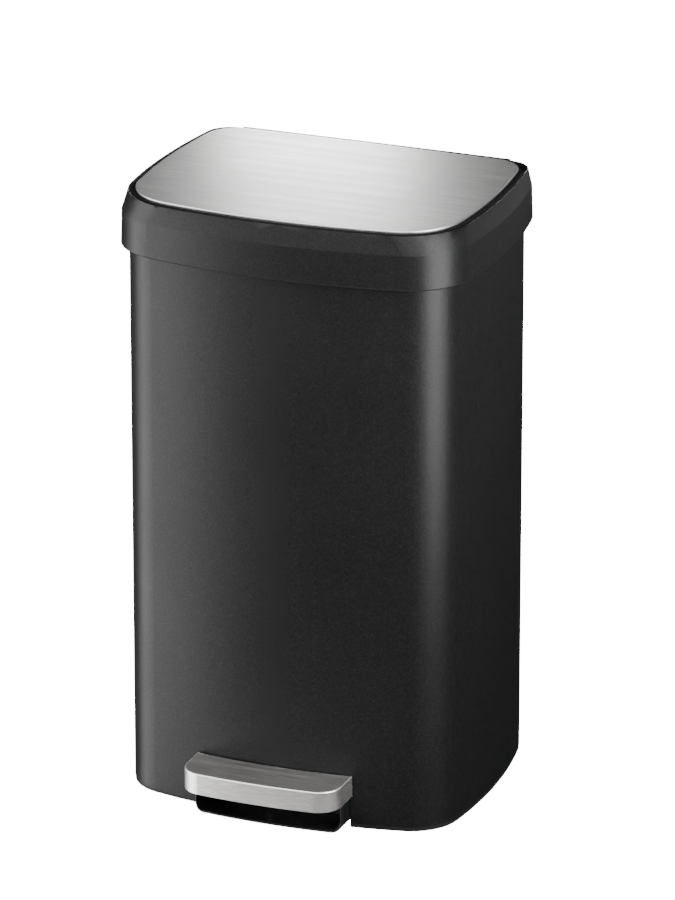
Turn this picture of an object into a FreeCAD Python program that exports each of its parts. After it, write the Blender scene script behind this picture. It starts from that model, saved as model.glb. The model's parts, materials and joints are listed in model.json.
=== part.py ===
import FreeCAD, Part
import math
import os
import re
import Sketcher

# A free-standing step bin. Millimetres, +X to the right, +Y to the back, +Z up.
# The origin is on the floor, under the centre of the body.

SIZES = {
    # plan of the body: half sizes, how far each side bows out, and its corners
    "half_width": 186.5,
    "half_depth": 142.0,
    "front_bow": 28.5,
    "side_bow": 16.0,
    "back_bow": 1.0,
    "front_corner": 55.0,
    "back_corner": 18.0,
    # plan of the lid plate
    "lid_step": 5.5,
    "lid_front_bow": 22.0,
    "lid_side_bow": 12.5,
    "lid_back_bow": 2.0,
    "lid_front_corner": 66.0,
    "lid_back_corner": 33.0,
    # heights from the floor
    "hem_height": 4.5,
    "shell_top": 618.0,
    "collar_drop": 21.8,
    "crease_rise": 15.3,
    "facet_rise": 19.7,
    "lid_proud": 3.0,
    # clearances
    "seat_gap": 0.3,
    "slide_gap": 0.15,
    "pin_gap": 0.05,
    "open_gap": 1.0,
    # shell, ring on the floor and false floor
    "shell_wall": 0.9,
    "ring_inset": 0.4,
    "ring_width": 12.0,
    "tray_wall": 2.5,
    "tray_lift": 1.5,
    # painted collar
    "collar_low": 8.9,
    "collar_high": 7.8,
    "collar_wall": 2.0,
    "collar_lip": 0.8,
    "collar_back_corner": 26.0,
    "crease_round": 3.0,
    "ledge_drop": 8.0,
    "ledge_wall": 2.0,
    "ledge_inset": 1.0,
    # ring that carries the bucket
    "seat_wall": 3.0,
    "seat_skirt": 14.0,
    "seat_opening": 14.5,
    "seat_short": 26.5,
    "seat_boss": 4.0,
    "seat_boss_drop": 8.0,
    # bucket
    "bucket_lift": 2.5,
    "bucket_wall": 2.0,
    "bucket_low": 27.0,
    "bucket_high": 16.0,
    "bucket_rim": 9.5,
    "bucket_rim_wall": 2.5,
    "bucket_taper": 7.0,
    "bucket_play": 2.5,
    "bucket_rim_lap": 3.0,
    "bucket_corner": 26.0,
    # lid
    "plate_edge": 2.0,
    "plate_wall": 1.0,
    "plate_round": 1.1,
    "frame_grow": 6.8,
    "bumper_tall": 2.5,
    "frame_inset": 1.5,
    "frame_back_corner": 45.0,
    "frame_inner": 14.0,
    "frame_bevel": 2.2,
    "opening_gap": 0.5,
    "liner_inset": 4.0,
    "liner_wall": 1.7,
    "liner_short": 8.0,
    "liner_back_corner": 24.0,
    "liner_skirt": 4.5,
    "liner_skirt_inset": 9.0,
    "liner_skirt_back": 38.0,
    "bumper_radius": 2.5,
    "bumper_grow": 4.0,
    # lid hinge
    "hinge_inset": 14.0,
    "hinge_rise": 1.0,
    "hinge_pin_radius": 2.0,
    "hinge_pin_length": 21.0,
    "hinge_side_inset": 40.0,
    "lug_radius": 4.0,
    "lug_half": 6.5,
    "ear_wall": 3.0,
    "bracket_half": 12.0,
    "bracket_nose": 16.0,
    "bracket_tail": 14.0,
    "bracket_base": 3.0,
    "notch_tall": 3.8,
    # cover behind the lid
    "cover_side_gap": 36.5,
    "cover_step": 1.2,
    "cover_tall": 17.0,
    "cover_wall": 2.5,
    "cover_bevel": 1.2,
    # crank under the lid
    "crank_radius": 15.0,
    "crank_angle": 40.0,
    "crank_pin_radius": 2.0,
    "crank_ear": 2.0,
    "crank_boss": 3.6,
    "crank_half": 14.0,
    "crank_long": 19.0,
    "crank_inset": 25.0,
    "crank_base": 2.0,
    # push rod
    "rod_thick": 4.0,
    "rod_wide": 9.5,
    "rod_foot_wide": 14.0,
    "rod_foot_tall": 11.6,
    "yoke_thick": 6.0,
    "yoke_wide": 14.0,
    "yoke_rise": 5.8,
    "yoke_drop": 13.0,
    "yoke_play": 0.65,
    "guide_low": 80.0,
    "guide_drop": 58.0,
    "guide_tall": 10.0,
    "guide_half": 11.0,
    "guide_nose": 23.0,
    "guide_screw_side": 7.0,
    # pedal lever
    "axle_depth": 29.3,
    "axle_height": 21.0,
    "axle_radius": 4.0,
    "axle_half": 48.0,
    "arm_inner": 14.0,
    "arm_wall": 3.0,
    "arm_gap": 2.0,
    "arm_boss": 8.0,
    "bush_radius": 6.0,
    "bush_flange": 1.5,
    "link_radius": 2.5,
    "link_play": 0.1,
    "saddle_inner": 30.0,
    "saddle_long": 12.0,
    "saddle_half": 12.0,
    "saddle_bottom": 13.0,
    "clip_wall": 1.0,
    "clip_radius": 6.5,
    "arm_plate_half": 45.0,
    "arm_plate_wall": 3.0,
    "arm_plate_reach": 46.0,
    "arm_plate_tail": 60.0,
    "arm_reach": 18.0,
    # pedal
    "pedal_half": 87.0,
    "pedal_gap": 1.5,
    "pedal_reach": 54.0,
    "pedal_corner": 26.0,
    "pedal_lift": 2.0,
    "pedal_tall": 23.0,
    "pedal_wall": 1.2,
    "pedal_round": 1.6,
    "core_short": 9.0,
    "core_back": 3.0,
    "core_rise": 0.8,
    # guard under the pedal
    "guard_short": 3.5,
    "guard_reach": 22.0,
    "guard_corner": 8.0,
    "guard_bend": 12.0,
    "guard_bottom": 1.0,
    "guard_top": 34.0,
    "guard_wall": 2.5,
    "guard_back": 24.0,
    "guard_back_corner": 1.2,
    "guard_tab": 42.0,
    "guard_slot": 9.0,
    "window_gap": 0.7,
    "window_lift": 2.0,
    # fasteners
    "screw_radius": 1.6,
    "screw_head": 3.2,
    "screw_head_tall": 1.6,
    "screw_recess": 1.1,
    "screw_recess_deep": 0.9,
    "rivet_radius": 1.5,
    "rivet_head": 2.8,
    "rivet_head_tall": 1.0,
    "screw_long": 12.0,
    "tray_boss": 4.5,
    "guard_screw_side_inset": 23.5,
    "guard_screw_inset": 36.0,
    "base_screw_inset": 66.5,
    "base_screw_height": 22.0,
    "pedal_screw_side_inset": 15.0,
    "pedal_screw_reach": 26.0,
    "lid_screw_inset": 9.0,
    "lid_screw_front_inset": 96.5,
    "lid_screw_back_inset": 62.0,
    "bumper_side_inset": 86.5,
    "bumper_back_inset": 82.0,
}

# heights, depths and widths that follow from the driving sizes
PLACES = {
    "lid_half_width": "half_width - lid_step",
    "lid_half_depth": "half_depth - lid_step",
    "collar_bottom": "shell_top - collar_drop",
    "collar_crease": "shell_top + crease_rise",
    "collar_top": "collar_crease + facet_rise",
    "lid_top": "collar_top + lid_proud",
    "ledge_top": "collar_top - ledge_drop",
    "spigot": "plate_edge - plate_wall - seat_gap",
    "frame_bottom": "ledge_top + bumper_tall",
    "hinge_height": "ledge_top + hinge_rise",
    "notch_top": "frame_bottom + notch_tall",
    "cover_bottom": "collar_top - cover_tall",
    "guide_high": "shell_top - guide_drop",
    "pedal_bottom": "guard_top + pedal_lift",
    "pedal_top": "pedal_bottom + pedal_tall",
    "window_top": "pedal_bottom + window_lift",
    "tray_top": "window_top + tray_lift",
    "bucket_floor": "tray_top + bucket_lift",
    "hinge_depth": "half_depth - hinge_inset",
    "crank_back": "hinge_depth - crank_inset",
    "crank_front": "crank_back - crank_long",
    "bracket_front": "hinge_depth - bracket_nose",
    "bracket_back": "hinge_depth + bracket_tail",
    "cover_front": "half_depth + cover_step",
    "frame_back": "half_depth - frame_inset",
    "liner_back": "hinge_depth - liner_short",
    "seat_back": "hinge_depth - seat_short",
    "bucket_rim_back": "seat_back + bucket_rim_lap",
    "bucket_high_back": "seat_back - bucket_play",
    "bucket_low_back": "bucket_high_back - bucket_taper",
    "guide_front": "hinge_depth - guide_nose",
    "arm_plate_front": "half_depth + arm_plate_reach",
    "arm_plate_back": "arm_plate_front - arm_plate_tail",
    "arm_front": "half_depth + arm_reach",
    "guard_screw_depth": "half_depth - guard_screw_inset",
    "pedal_screw_depth": "half_depth + pedal_screw_reach",
    "cover_half": "half_width - cover_side_gap",
    "hinge_side": "cover_half - hinge_side_inset",
    "base_screw_side": "half_width - base_screw_inset",
    "core_half": "pedal_half - core_short",
    "guard_half": "pedal_half - guard_short",
    "guard_screw_side": "guard_half - guard_screw_side_inset",
    "pedal_screw_side": "arm_plate_half - pedal_screw_side_inset",
    "lid_screw_front": "half_width - lid_screw_front_inset",
    "lid_screw_side": "half_depth - lid_screw_back_inset",
    "bumper_side": "half_width - bumper_side_inset",
    "bumper_back": "half_depth - bumper_back_inset",
    "saddle_outer": "saddle_inner + saddle_long",
}

BODY_PLAN = {
    "width": "half_width",
    "depth": "half_depth",
    "front": "front_bow",
    "side": "side_bow",
    "back": "back_bow",
    "front_corner": "front_corner",
    "back_corner": "back_corner",
}
LID_PLAN = {key: "lid_" + name for key, name in BODY_PLAN.items()}

# where the linkage's joints lie
ROD_DEPTH = "(hinge_depth - crank_radius * (1 + cos(crank_angle)) / 2)"
CRANK_DEPTH = "(hinge_depth - crank_radius * cos(crank_angle))"
CRANK_HEIGHT = "(hinge_height - crank_radius * sin(crank_angle))"
LINK_HEIGHT = "(axle_height - crank_radius * sin(crank_angle))"
ARM_TOP = "(pedal_bottom + core_rise)"
ARM_UNDER = "(pedal_bottom + core_rise - arm_plate_wall)"
SEAT_TOP = "(shell_top + seat_wall)"
BACK_INSIDE = "(half_depth - shell_wall - seat_gap)"
FRONT_RADIUS = "((half_width ^ 2 + front_bow ^ 2) / (2 * front_bow))"

document = FreeCAD.newDocument("step_bin")
sheet = document.addObject("Spreadsheet::Sheet", "dims")
for row, (alias, size) in enumerate(SIZES.items(), start=1):
    sheet.set(f"A{row}", alias)
    sheet.set(f"B{row}", str(size))
    sheet.setAlias(f"B{row}", alias)
document.recompute()

nodes = {}


def bound(words):
    """The expression that reads each named size or place in words from the sheet."""

    def read(word):
        if word[0] in PLACES:
            return f"({bound(PLACES[word[0]])})"
        return "dims." * (word[0] in SIZES) + word[0]

    return re.sub(r"[a-z_]+", read, str(words))


def number(words):
    """The value of a sum of named sizes and places, for the first guess of a sketch."""
    total = 0.0
    sign = 1.0
    for word in str(words).split():
        if word in "+-":
            sign = 1.0 if word == "+" else -1.0
            continue
        if word in PLACES:
            total += sign * number(PLACES[word])
        else:
            total += sign * (SIZES[word] if word in SIZES else float(word))
        sign = 1.0
    return total


def keep(name, thing):
    """Name a finished sub-part and list it for writing."""
    thing.Label = name
    nodes[name] = thing
    return thing


def new_body(name):
    """An empty body for one sub-part."""
    return document.addObject("PartDesign::Body", name + "_body")


def flat_sketch(body, height):
    """A level sketch at a height on a body's own base plane."""
    sketch = body.newObject("Sketcher::SketchObject", body.Name + "_sketch")
    plane = [item for item in body.Origin.OriginFeatures if item.Role == "XY_Plane"][0]
    sketch.AttachmentSupport = [(plane, "")]
    sketch.MapMode = "FlatFace"
    sketch.setExpression("AttachmentOffset.Base.z", bound(height))
    return sketch


def drive(sketch, kind, target, value, words):
    """Add a dimension to a sketch and bind it to the sheet."""
    index = sketch.addConstraint(Sketcher.Constraint(kind, *target, value))
    sketch.setExpression(f"Constraints[{index}]", bound(words))


def centre_of(sketch, arc, across, along, words):
    """Hold an arc's centre on one axis, at a bound distance along the other."""
    sketch.addConstraint(Sketcher.Constraint("PointOnObject", arc, 3, across))
    drive(sketch, "DistanceX" if across == -1 else "DistanceY", (-1, 1, arc, 3), along, words)


def arc_between(centre, radius, first, last):
    """A counter-clockwise arc about centre from one point to another."""
    start = math.atan2(first[1] - centre[1], first[0] - centre[0])
    end = math.atan2(last[1] - centre[1], last[0] - centre[0])
    circle = Part.Circle(FreeCAD.Vector(*centre, 0), FreeCAD.Vector(0, 0, 1), radius)
    return Part.ArcOfCircle(circle, start, end + 2 * math.pi * (end < start))


def touch_point(centre, radius, corner):
    """Where a corner arc meets the larger arc about centre."""
    away = math.hypot(corner[0] - centre[0], corner[1] - centre[1])
    return tuple(c + (k - c) * radius / away for c, k in zip(centre, corner))


def corner_centre(end_centre, end_reach, side_centre, side_reach, sign):
    """Where the centre of a corner arc lies, on the front (-1) or back (1) right."""
    dx = side_centre[0] - end_centre[0]
    dy = side_centre[1] - end_centre[1]
    gap = math.hypot(dx, dy)
    along = (end_reach**2 - side_reach**2 + gap**2) / (2 * gap)
    off = math.sqrt(end_reach**2 - along**2)
    foot = (end_centre[0] + along * dx / gap, end_centre[1] + along * dy / gap)
    pair = [
        (foot[0] + off * dy / gap, foot[1] - off * dx / gap),
        (foot[0] - off * dy / gap, foot[1] + off * dx / gap),
    ]
    return max(pair, key=lambda point: point[0] + sign * point[1] * 1e-3)


def plan_sketch(body, plan, height, grow="0", back=None, back_corner=None):
    """The closed plan of the body or the lid: four bowed sides and four round corners.

    grow widens it all round; back and back_corner replace its back edge and corner.
    """
    size = {key: number(name) for key, name in plan.items()}
    more = number(grow)
    radii = {}
    words = {}
    for key, span in (("front", "width"), ("side", "depth"), ("back", "width")):
        radii[key] = (size[span] ** 2 + size[key] ** 2) / (2 * size[key])
        words[key] = f"(({plan[span]} ^ 2 + {plan[key]} ^ 2) / (2 * {plan[key]}))"
    back_words = f"{plan['depth']} - {words['back']}"
    back_centre = size["depth"] - radii["back"]
    if back:
        back_words = f"{back} - {words['back']} - ({grow})"
        back_centre = number(back) - radii["back"] - more
    reach = {key: radius + more for key, radius in radii.items()}
    reach["front_corner"] = size["front_corner"] + more
    reach["back_corner"] = number(back_corner) if back_corner else size["back_corner"] + more
    reach_words = {key: f"{radius} + ({grow})" for key, radius in words.items()}
    reach_words["front_corner"] = f"{plan['front_corner']} + ({grow})"
    reach_words["back_corner"] = back_corner or f"{plan['back_corner']} + ({grow})"
    front = (0.0, radii["front"] - size["depth"])
    rear = (0.0, back_centre)
    side = (size["width"] - radii["side"], 0.0)
    knee = {}
    for key, centre, sign in (("front", front, -1), ("back", rear, 1)):
        corner = reach[key + "_corner"]
        knee[key] = corner_centre(centre, reach[key] - corner, side, reach["side"] - corner, sign)
    front_end = touch_point(front, reach["front"], knee["front"])
    side_front = touch_point(side, reach["side"], knee["front"])
    side_back = touch_point(side, reach["side"], knee["back"])
    back_end = touch_point(rear, reach["back"], knee["back"])

    def left(point):
        return (-point[0], point[1])

    arcs = [
        ("front", front, left(front_end), front_end),
        ("front_corner", knee["front"], front_end, side_front),
        ("side", side, side_front, side_back),
        ("back_corner", knee["back"], side_back, back_end),
        ("back", rear, back_end, left(back_end)),
        ("back_corner", left(knee["back"]), left(back_end), left(side_back)),
        ("side", left(side), left(side_back), left(side_front)),
        ("front_corner", left(knee["front"]), left(side_front), left(front_end)),
    ]
    sketch = flat_sketch(body, height)
    for key, centre, first, last in arcs:
        sketch.addGeometry(arc_between(centre, reach[key], first, last))
    for index in range(len(arcs)):
        after = (index + 1) % len(arcs)
        sketch.addConstraint(Sketcher.Constraint("Tangent", index, 2, after, 1))
    for index, (key, *_) in enumerate(arcs):
        drive(sketch, "Radius", (index,), reach[key], reach_words[key])
    centre_of(sketch, 0, -2, front[1], f"{words['front']} - {plan['depth']}")
    centre_of(sketch, 4, -2, rear[1], back_words)
    centre_of(sketch, 2, -1, side[0], f"{plan['width']} - {words['side']}")
    centre_of(sketch, 6, -1, -side[0], f"{words['side']} - {plan['width']}")
    return sketch


def apron_sketch(body, height, half, near, far, corner):
    """A plan between two curves that follow the front of the body, with straight sides.

    near and far are how far its back and front edges stand out from the body.
    """
    wide, round_corner = number(half), number(corner)
    base = (SIZES["half_width"] ** 2 + SIZES["front_bow"] ** 2) / (2 * SIZES["front_bow"])
    middle = (0.0, base - SIZES["half_depth"])
    inner, outer = base + number(near), base + number(far)
    knee_x = wide - round_corner
    knee_y = middle[1] - math.sqrt((outer - round_corner) ** 2 - knee_x**2)
    near_y = middle[1] - math.sqrt(inner**2 - wide**2)
    meet = touch_point(middle, outer, (knee_x, knee_y))
    sketch = flat_sketch(body, height)
    sketch.addGeometry(arc_between(middle, outer, (-meet[0], meet[1]), meet))
    sketch.addGeometry(arc_between((knee_x, knee_y), round_corner, meet, (wide, knee_y)))
    sketch.addGeometry(
        Part.LineSegment(FreeCAD.Vector(wide, knee_y, 0), FreeCAD.Vector(wide, near_y, 0))
    )
    sketch.addGeometry(arc_between(middle, inner, (-wide, near_y), (wide, near_y)))
    sketch.addGeometry(
        Part.LineSegment(FreeCAD.Vector(-wide, near_y, 0), FreeCAD.Vector(-wide, knee_y, 0))
    )
    sketch.addGeometry(
        arc_between((-knee_x, knee_y), round_corner, (-wide, knee_y), (-meet[0], meet[1]))
    )
    for first, last in ((0, 1), (1, 2), (4, 5), (5, 0)):
        sketch.addConstraint(Sketcher.Constraint("Tangent", first, 2, last, 1))
    sketch.addConstraint(Sketcher.Constraint("Coincident", 2, 2, 3, 2))
    sketch.addConstraint(Sketcher.Constraint("Coincident", 3, 1, 4, 1))
    for line in (2, 4):
        sketch.addConstraint(Sketcher.Constraint("Vertical", line))
    for arc, radius, words in ((0, outer, far), (3, inner, near)):
        centre_of(sketch, arc, -2, middle[1], f"{FRONT_RADIUS} - half_depth")
        drive(sketch, "Radius", (arc,), radius, f"{FRONT_RADIUS} + ({words})")
    for arc in (1, 5):
        drive(sketch, "Radius", (arc,), round_corner, corner)
    drive(sketch, "DistanceX", (-1, 1, 2, 1), wide, half)
    drive(sketch, "DistanceX", (-1, 1, 4, 1), -wide, f"-({half})")
    return sketch


def pad(body, sketch, length):
    """Raise a level sketch by a length."""
    feature = body.newObject("PartDesign::Pad", body.Name + "_pad")
    feature.Profile = sketch
    feature.setExpression("Length", bound(length))
    return feature


def pocket(body, sketch, length):
    """Cut upwards from a level sketch by a length."""
    feature = body.newObject("PartDesign::Pocket", body.Name + "_pocket")
    feature.Profile = sketch
    feature.Reversed = True
    feature.setExpression("Length", bound(length))
    return feature


def loft(body, kind, sketches):
    """Join level sketches by straight walls, as material or as a hollow."""
    feature = body.newObject("PartDesign::" + kind, body.Name + "_loft")
    feature.Profile = sketches[0]
    feature.Sections = sketches[1:]
    feature.Ruled = True
    return feature


def dress(body, kind, base, height, wanted, amount):
    """Round or bevel the wanted edges that lie at one height of a body."""
    document.recompute()
    names = []
    for index, edge in enumerate(base.Shape.Edges, start=1):
        middle = edge.valueAt((edge.FirstParameter + edge.LastParameter) / 2)
        level = max(abs(vertex.Z - height) for vertex in edge.Vertexes)
        if level < 1e-4 and abs(middle.z - height) < 1e-4 and wanted(middle):
            names.append(f"Edge{index}")
    feature = body.newObject("PartDesign::" + kind, body.Name + "_edges")
    feature.Base = (base, names)
    feature.setExpression("Radius" if kind == "Fillet" else "Size", bound(amount))
    return feature


def block(x, y, z):
    """A box from three pairs of bound limits."""
    box = document.addObject("Part::Box", "block")
    for side, axis, (low, high) in zip(("Length", "Width", "Height"), "xyz", (x, y, z)):
        box.setExpression(side, bound(f"({high}) - ({low})"))
        box.setExpression(f"Placement.Base.{axis}", bound(low))
    return box


def bar(axis, start, radius, length):
    """A round bar that runs along an axis from its start point."""
    rod = document.addObject("Part::Cylinder", "bar")
    turn = {"x": ((0, 1, 0), 90), "y": ((1, 0, 0), -90), "z": ((0, 0, 1), 0)}[axis]
    rod.Placement.Rotation = FreeCAD.Rotation(FreeCAD.Vector(*turn[0]), turn[1])
    for letter, words in zip("xyz", start):
        rod.setExpression(f"Placement.Base.{letter}", bound(words))
    rod.setExpression("Radius", bound(radius))
    rod.setExpression("Height", bound(length))
    return rod


def joined(pieces):
    """Several pieces made one."""
    fuse = document.addObject("Part::MultiFuse", "joined")
    fuse.Shapes = pieces
    return fuse


def trimmed(base, cutters):
    """A piece with cutters taken out of it."""
    cut = document.addObject("Part::Cut", "trimmed")
    cut.Base = base
    cut.Tool = cutters[0] if len(cutters) == 1 else joined(cutters)
    return cut


def screw(axis, head, way, length="screw_long"):
    """A screw whose head starts at a point and whose shank runs along way."""
    at = dict(zip("xyz", head))
    if way < 0:
        at[axis] = f"({at[axis]}) - screw_head_tall"
    cap = bar(axis, (at["x"], at["y"], at["z"]), "screw_head", "screw_head_tall")
    at = dict(zip("xyz", head))
    at[axis] = f"({at[axis]}) + screw_head_tall" if way > 0 else f"({at[axis]}) - ({length})"
    shank = bar(
        axis, (at["x"], at["y"], at["z"]), "screw_radius", f"({length}) - screw_head_tall"
    )
    at = dict(zip("xyz", head))
    if way < 0:
        at[axis] = f"({at[axis]}) - screw_recess_deep"
    recess = bar(axis, (at["x"], at["y"], at["z"]), "screw_recess", "screw_recess_deep")
    return trimmed(joined([cap, shank]), [recess])


def group(name, pieces):
    """Like pieces that stay separate solids in one node."""
    bundle = document.addObject("Part::Compound", "group")
    bundle.Links = pieces
    return keep(name, bundle)


def mirrored_span(side, inner, outer):
    """Limits across the bin from inner to outer on one side."""
    if side > 0:
        return (f"({inner})", f"({outer})")
    return (f"-({outer})", f"-({inner})")


def hinge_bar(low, high, radius):
    """A bar on the lid's hinge axis between two places across."""
    return bar("x", (low, "hinge_depth", "hinge_height"), radius, f"({high}) - ({low})")


def make_floor_ring():
    """Rubber ring that the bin stands on, open where the pedal guard passes."""
    body = new_body("floor_ring")
    pad(body, plan_sketch(body, BODY_PLAN, "0", "0 - ring_inset"), "hem_height")
    pocket(body, plan_sketch(body, BODY_PLAN, "0", "0 - ring_inset - ring_width"), "hem_height")
    gate = "guard_half + window_gap"
    mouth = block(
        (f"-({gate})", gate), ("-half_depth - 1", "-half_depth / 2"), ("-1", "hem_height + 1")
    )
    keep("floor_ring", trimmed(body, [mouth]))


def guide_screw_places():
    """Where the rod guides are screwed to the back of the shell, across and up."""
    return [
        (f"{sign}guide_screw_side", f"{height} + guide_tall / 2")
        for height in ("guide_low", "guide_high")
        for sign in ("-", "")
    ]


def base_screw_places():
    """Where the false floor is screwed to the back of the shell, across and up."""
    return [(f"{sign}base_screw_side", "base_screw_height") for sign in ("-", "")]


def guard_screw_places():
    """Where the pedal guard is screwed to the false floor, across and back."""
    return [(f"{sign}guard_screw_side", "-guard_screw_depth") for sign in ("-", "")]


def pedal_screw_places():
    """Where the lever is screwed to the pedal's core, across and back."""
    return [(f"{sign}pedal_screw_side", "-pedal_screw_depth") for sign in ("-", "")]


def bracket_screw_depths():
    """Where each hinge bracket is screwed down, in front of and behind its pin."""
    return ("hinge_depth - bracket_half", "hinge_depth + seat_boss * 2")


def make_body_shell():
    """Painted sheet tube with a window for the pedal lever and its guard."""
    body = new_body("body_shell")
    wall = "shell_top - hem_height"
    pad(body, plan_sketch(body, BODY_PLAN, "hem_height"), wall)
    pocket(body, plan_sketch(body, BODY_PLAN, "hem_height", "0 - shell_wall"), wall)
    side = "guard_half + window_gap"
    window = block(
        (f"-({side})", side), ("-half_depth - 1", "-half_depth / 2"), ("0", "window_top")
    )
    holes = [
        bar("y", (across, "half_depth / 2", height), "screw_radius + pin_gap", "half_depth")
        for across, height in guide_screw_places() + base_screw_places()
    ]
    keep("body_shell", trimmed(body, [window] + holes))


def make_base_tray():
    """False floor with a skirt inside the shell and bosses for the pedal guard."""
    body = new_body("base_tray")
    outside = "0 - shell_wall - seat_gap"
    pad(body, plan_sketch(body, BODY_PLAN, "hem_height", outside), "tray_top - hem_height")
    hollow = "tray_top - tray_wall - hem_height"
    pocket(body, plan_sketch(body, BODY_PLAN, "hem_height", outside + " - tray_wall"), hollow)
    side = "guard_half + window_gap"
    mouth = block(
        (f"-({side})", side), ("-half_depth - 1", "-half_depth / 2"), ("0", "tray_top - tray_wall")
    )
    boss_low = "guard_bottom + guard_wall"
    bosses = [
        bar("z", (*place, boss_low), "tray_boss", f"tray_top - tray_wall - ({boss_low})")
        for place in guard_screw_places()
    ]
    rod_gap = "rod_wide / 2 + open_gap"
    rod_hole = block(
        ("-rod_thick / 2 - open_gap", "rod_thick / 2 + open_gap"),
        (f"{ROD_DEPTH} - ({rod_gap})", f"{ROD_DEPTH} + {rod_gap}"),
        ("hem_height", "tray_top + 1"),
    )
    pilots = [
        bar("z", (*place, "0"), "screw_radius", "screw_long + screw_head_tall")
        for place in guard_screw_places()
    ]
    pilots += [
        bar("y", (across, "half_depth / 2", height), "screw_radius", "half_depth")
        for across, height in base_screw_places()
    ]
    keep("base_tray", trimmed(joined([trimmed(body, [mouth])] + bosses), [rod_hole] + pilots))


def make_collar():
    """Painted collar: an upright band, a facet that leans in, and a ledge for the lid."""
    body = new_body("collar")
    lip = "frame_grow + opening_gap"
    corner = "collar_back_corner"
    loft(
        body,
        "AdditiveLoft",
        [
            plan_sketch(body, BODY_PLAN, "collar_bottom", "collar_low"),
            plan_sketch(body, BODY_PLAN, "collar_crease", "collar_high"),
        ],
    )
    top = plan_sketch(body, LID_PLAN, "collar_top", lip + " + collar_lip", None, corner + " + collar_lip")
    facet = loft(
        body, "AdditiveLoft", [plan_sketch(body, BODY_PLAN, "collar_crease", "collar_high"), top]
    )
    dress(body, "Fillet", facet, number("collar_crease"), lambda middle: True, "crease_round")
    floor = "collar_bottom + collar_wall"
    under = "ledge_top - ledge_wall"
    pocket(body, plan_sketch(body, BODY_PLAN, "collar_bottom", "seat_gap"), "collar_wall")
    loft(
        body,
        "SubtractiveLoft",
        [
            plan_sketch(body, BODY_PLAN, floor, "collar_low - collar_wall"),
            plan_sketch(body, BODY_PLAN, "collar_crease", "collar_high - collar_wall"),
        ],
    )
    loft(
        body,
        "SubtractiveLoft",
        [
            plan_sketch(body, BODY_PLAN, "collar_crease", "collar_high - collar_wall"),
            plan_sketch(body, LID_PLAN, under, lip, None, corner),
        ],
    )
    hole = plan_sketch(
        body, LID_PLAN, under, "ledge_inset", "lid_half_depth + frame_grow", corner
    )
    pocket(body, hole, "ledge_wall")
    pocket(body, plan_sketch(body, LID_PLAN, "ledge_top", lip, None, corner), "collar_top - ledge_top + 1")
    gate = "cover_half + seat_gap"
    rear = block(
        (f"-({gate})", gate),
        ("lid_half_depth + open_gap", "half_depth + collar_low + 1"),
        ("cover_bottom - seat_gap", "collar_top + 1"),
    )
    keep("collar", trimmed(body, [rear]))


def make_seat_ring():
    """Ring on top of the shell that carries the bucket and the lid's hinge."""
    body = new_body("seat_ring")
    edge = "collar_high - collar_wall - seat_gap"
    pad(body, plan_sketch(body, BODY_PLAN, "shell_top", edge), "seat_wall")
    outside = "0 - shell_wall - seat_gap"
    pad(body, plan_sketch(body, BODY_PLAN, "shell_top - seat_skirt", outside), "seat_skirt")
    pocket(
        body,
        plan_sketch(body, BODY_PLAN, "shell_top - seat_skirt", outside + " - tray_wall"),
        "seat_skirt",
    )
    hole = plan_sketch(
        body, BODY_PLAN, "shell_top - 1", "0 - seat_opening", "seat_back", "bucket_corner"
    )
    pocket(body, hole, "seat_wall + 2")
    bosses = []
    pilots = []
    for sign in ("-", ""):
        for depth in bracket_screw_depths():
            place = (f"{sign}hinge_side", depth, "shell_top - seat_boss_drop")
            bosses.append(bar("z", place, "seat_boss", "seat_boss_drop"))
            pilots.append(bar("z", place, "screw_radius", "seat_boss_drop + seat_wall"))
    play = "seat_gap * 2"
    rod_hole = block(
        (f"-rod_thick / 2 - {play}", f"rod_thick / 2 + {play}"),
        (f"{ROD_DEPTH} - rod_wide / 2 - {play}", f"{ROD_DEPTH} + rod_wide / 2 + {play}"),
        ("shell_top - 1", f"{SEAT_TOP} + 1"),
    )
    keep("seat_ring", trimmed(joined([body] + bosses), pilots + [rod_hole]))


def make_bucket():
    """Lift-out bucket that hangs by its rim in the seat ring."""
    body = new_body("inner_bucket")
    low = ("bucket_low_back", "bucket_corner")
    high = ("bucket_high_back", "bucket_corner")
    loft(
        body,
        "AdditiveLoft",
        [
            plan_sketch(body, BODY_PLAN, "bucket_floor", "0 - bucket_low", *low),
            plan_sketch(body, BODY_PLAN, SEAT_TOP, "0 - bucket_high", *high),
        ],
    )
    rim = plan_sketch(
        body, BODY_PLAN, SEAT_TOP, "0 - bucket_rim",
        "bucket_rim_back", "bucket_corner + bucket_rim_wall",
    )
    pad(body, rim, "bucket_rim_wall")
    loft(
        body,
        "SubtractiveLoft",
        [
            plan_sketch(
                body, BODY_PLAN, "bucket_floor + bucket_wall", "0 - bucket_low - bucket_wall",
                "bucket_low_back - bucket_wall", "bucket_corner - bucket_wall",
            ),
            plan_sketch(
                body, BODY_PLAN, f"{SEAT_TOP} + bucket_rim_wall", "0 - bucket_high - bucket_wall",
                "bucket_high_back - bucket_wall", "bucket_corner - bucket_wall",
            ),
        ],
    )
    keep("inner_bucket", body)


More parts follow.
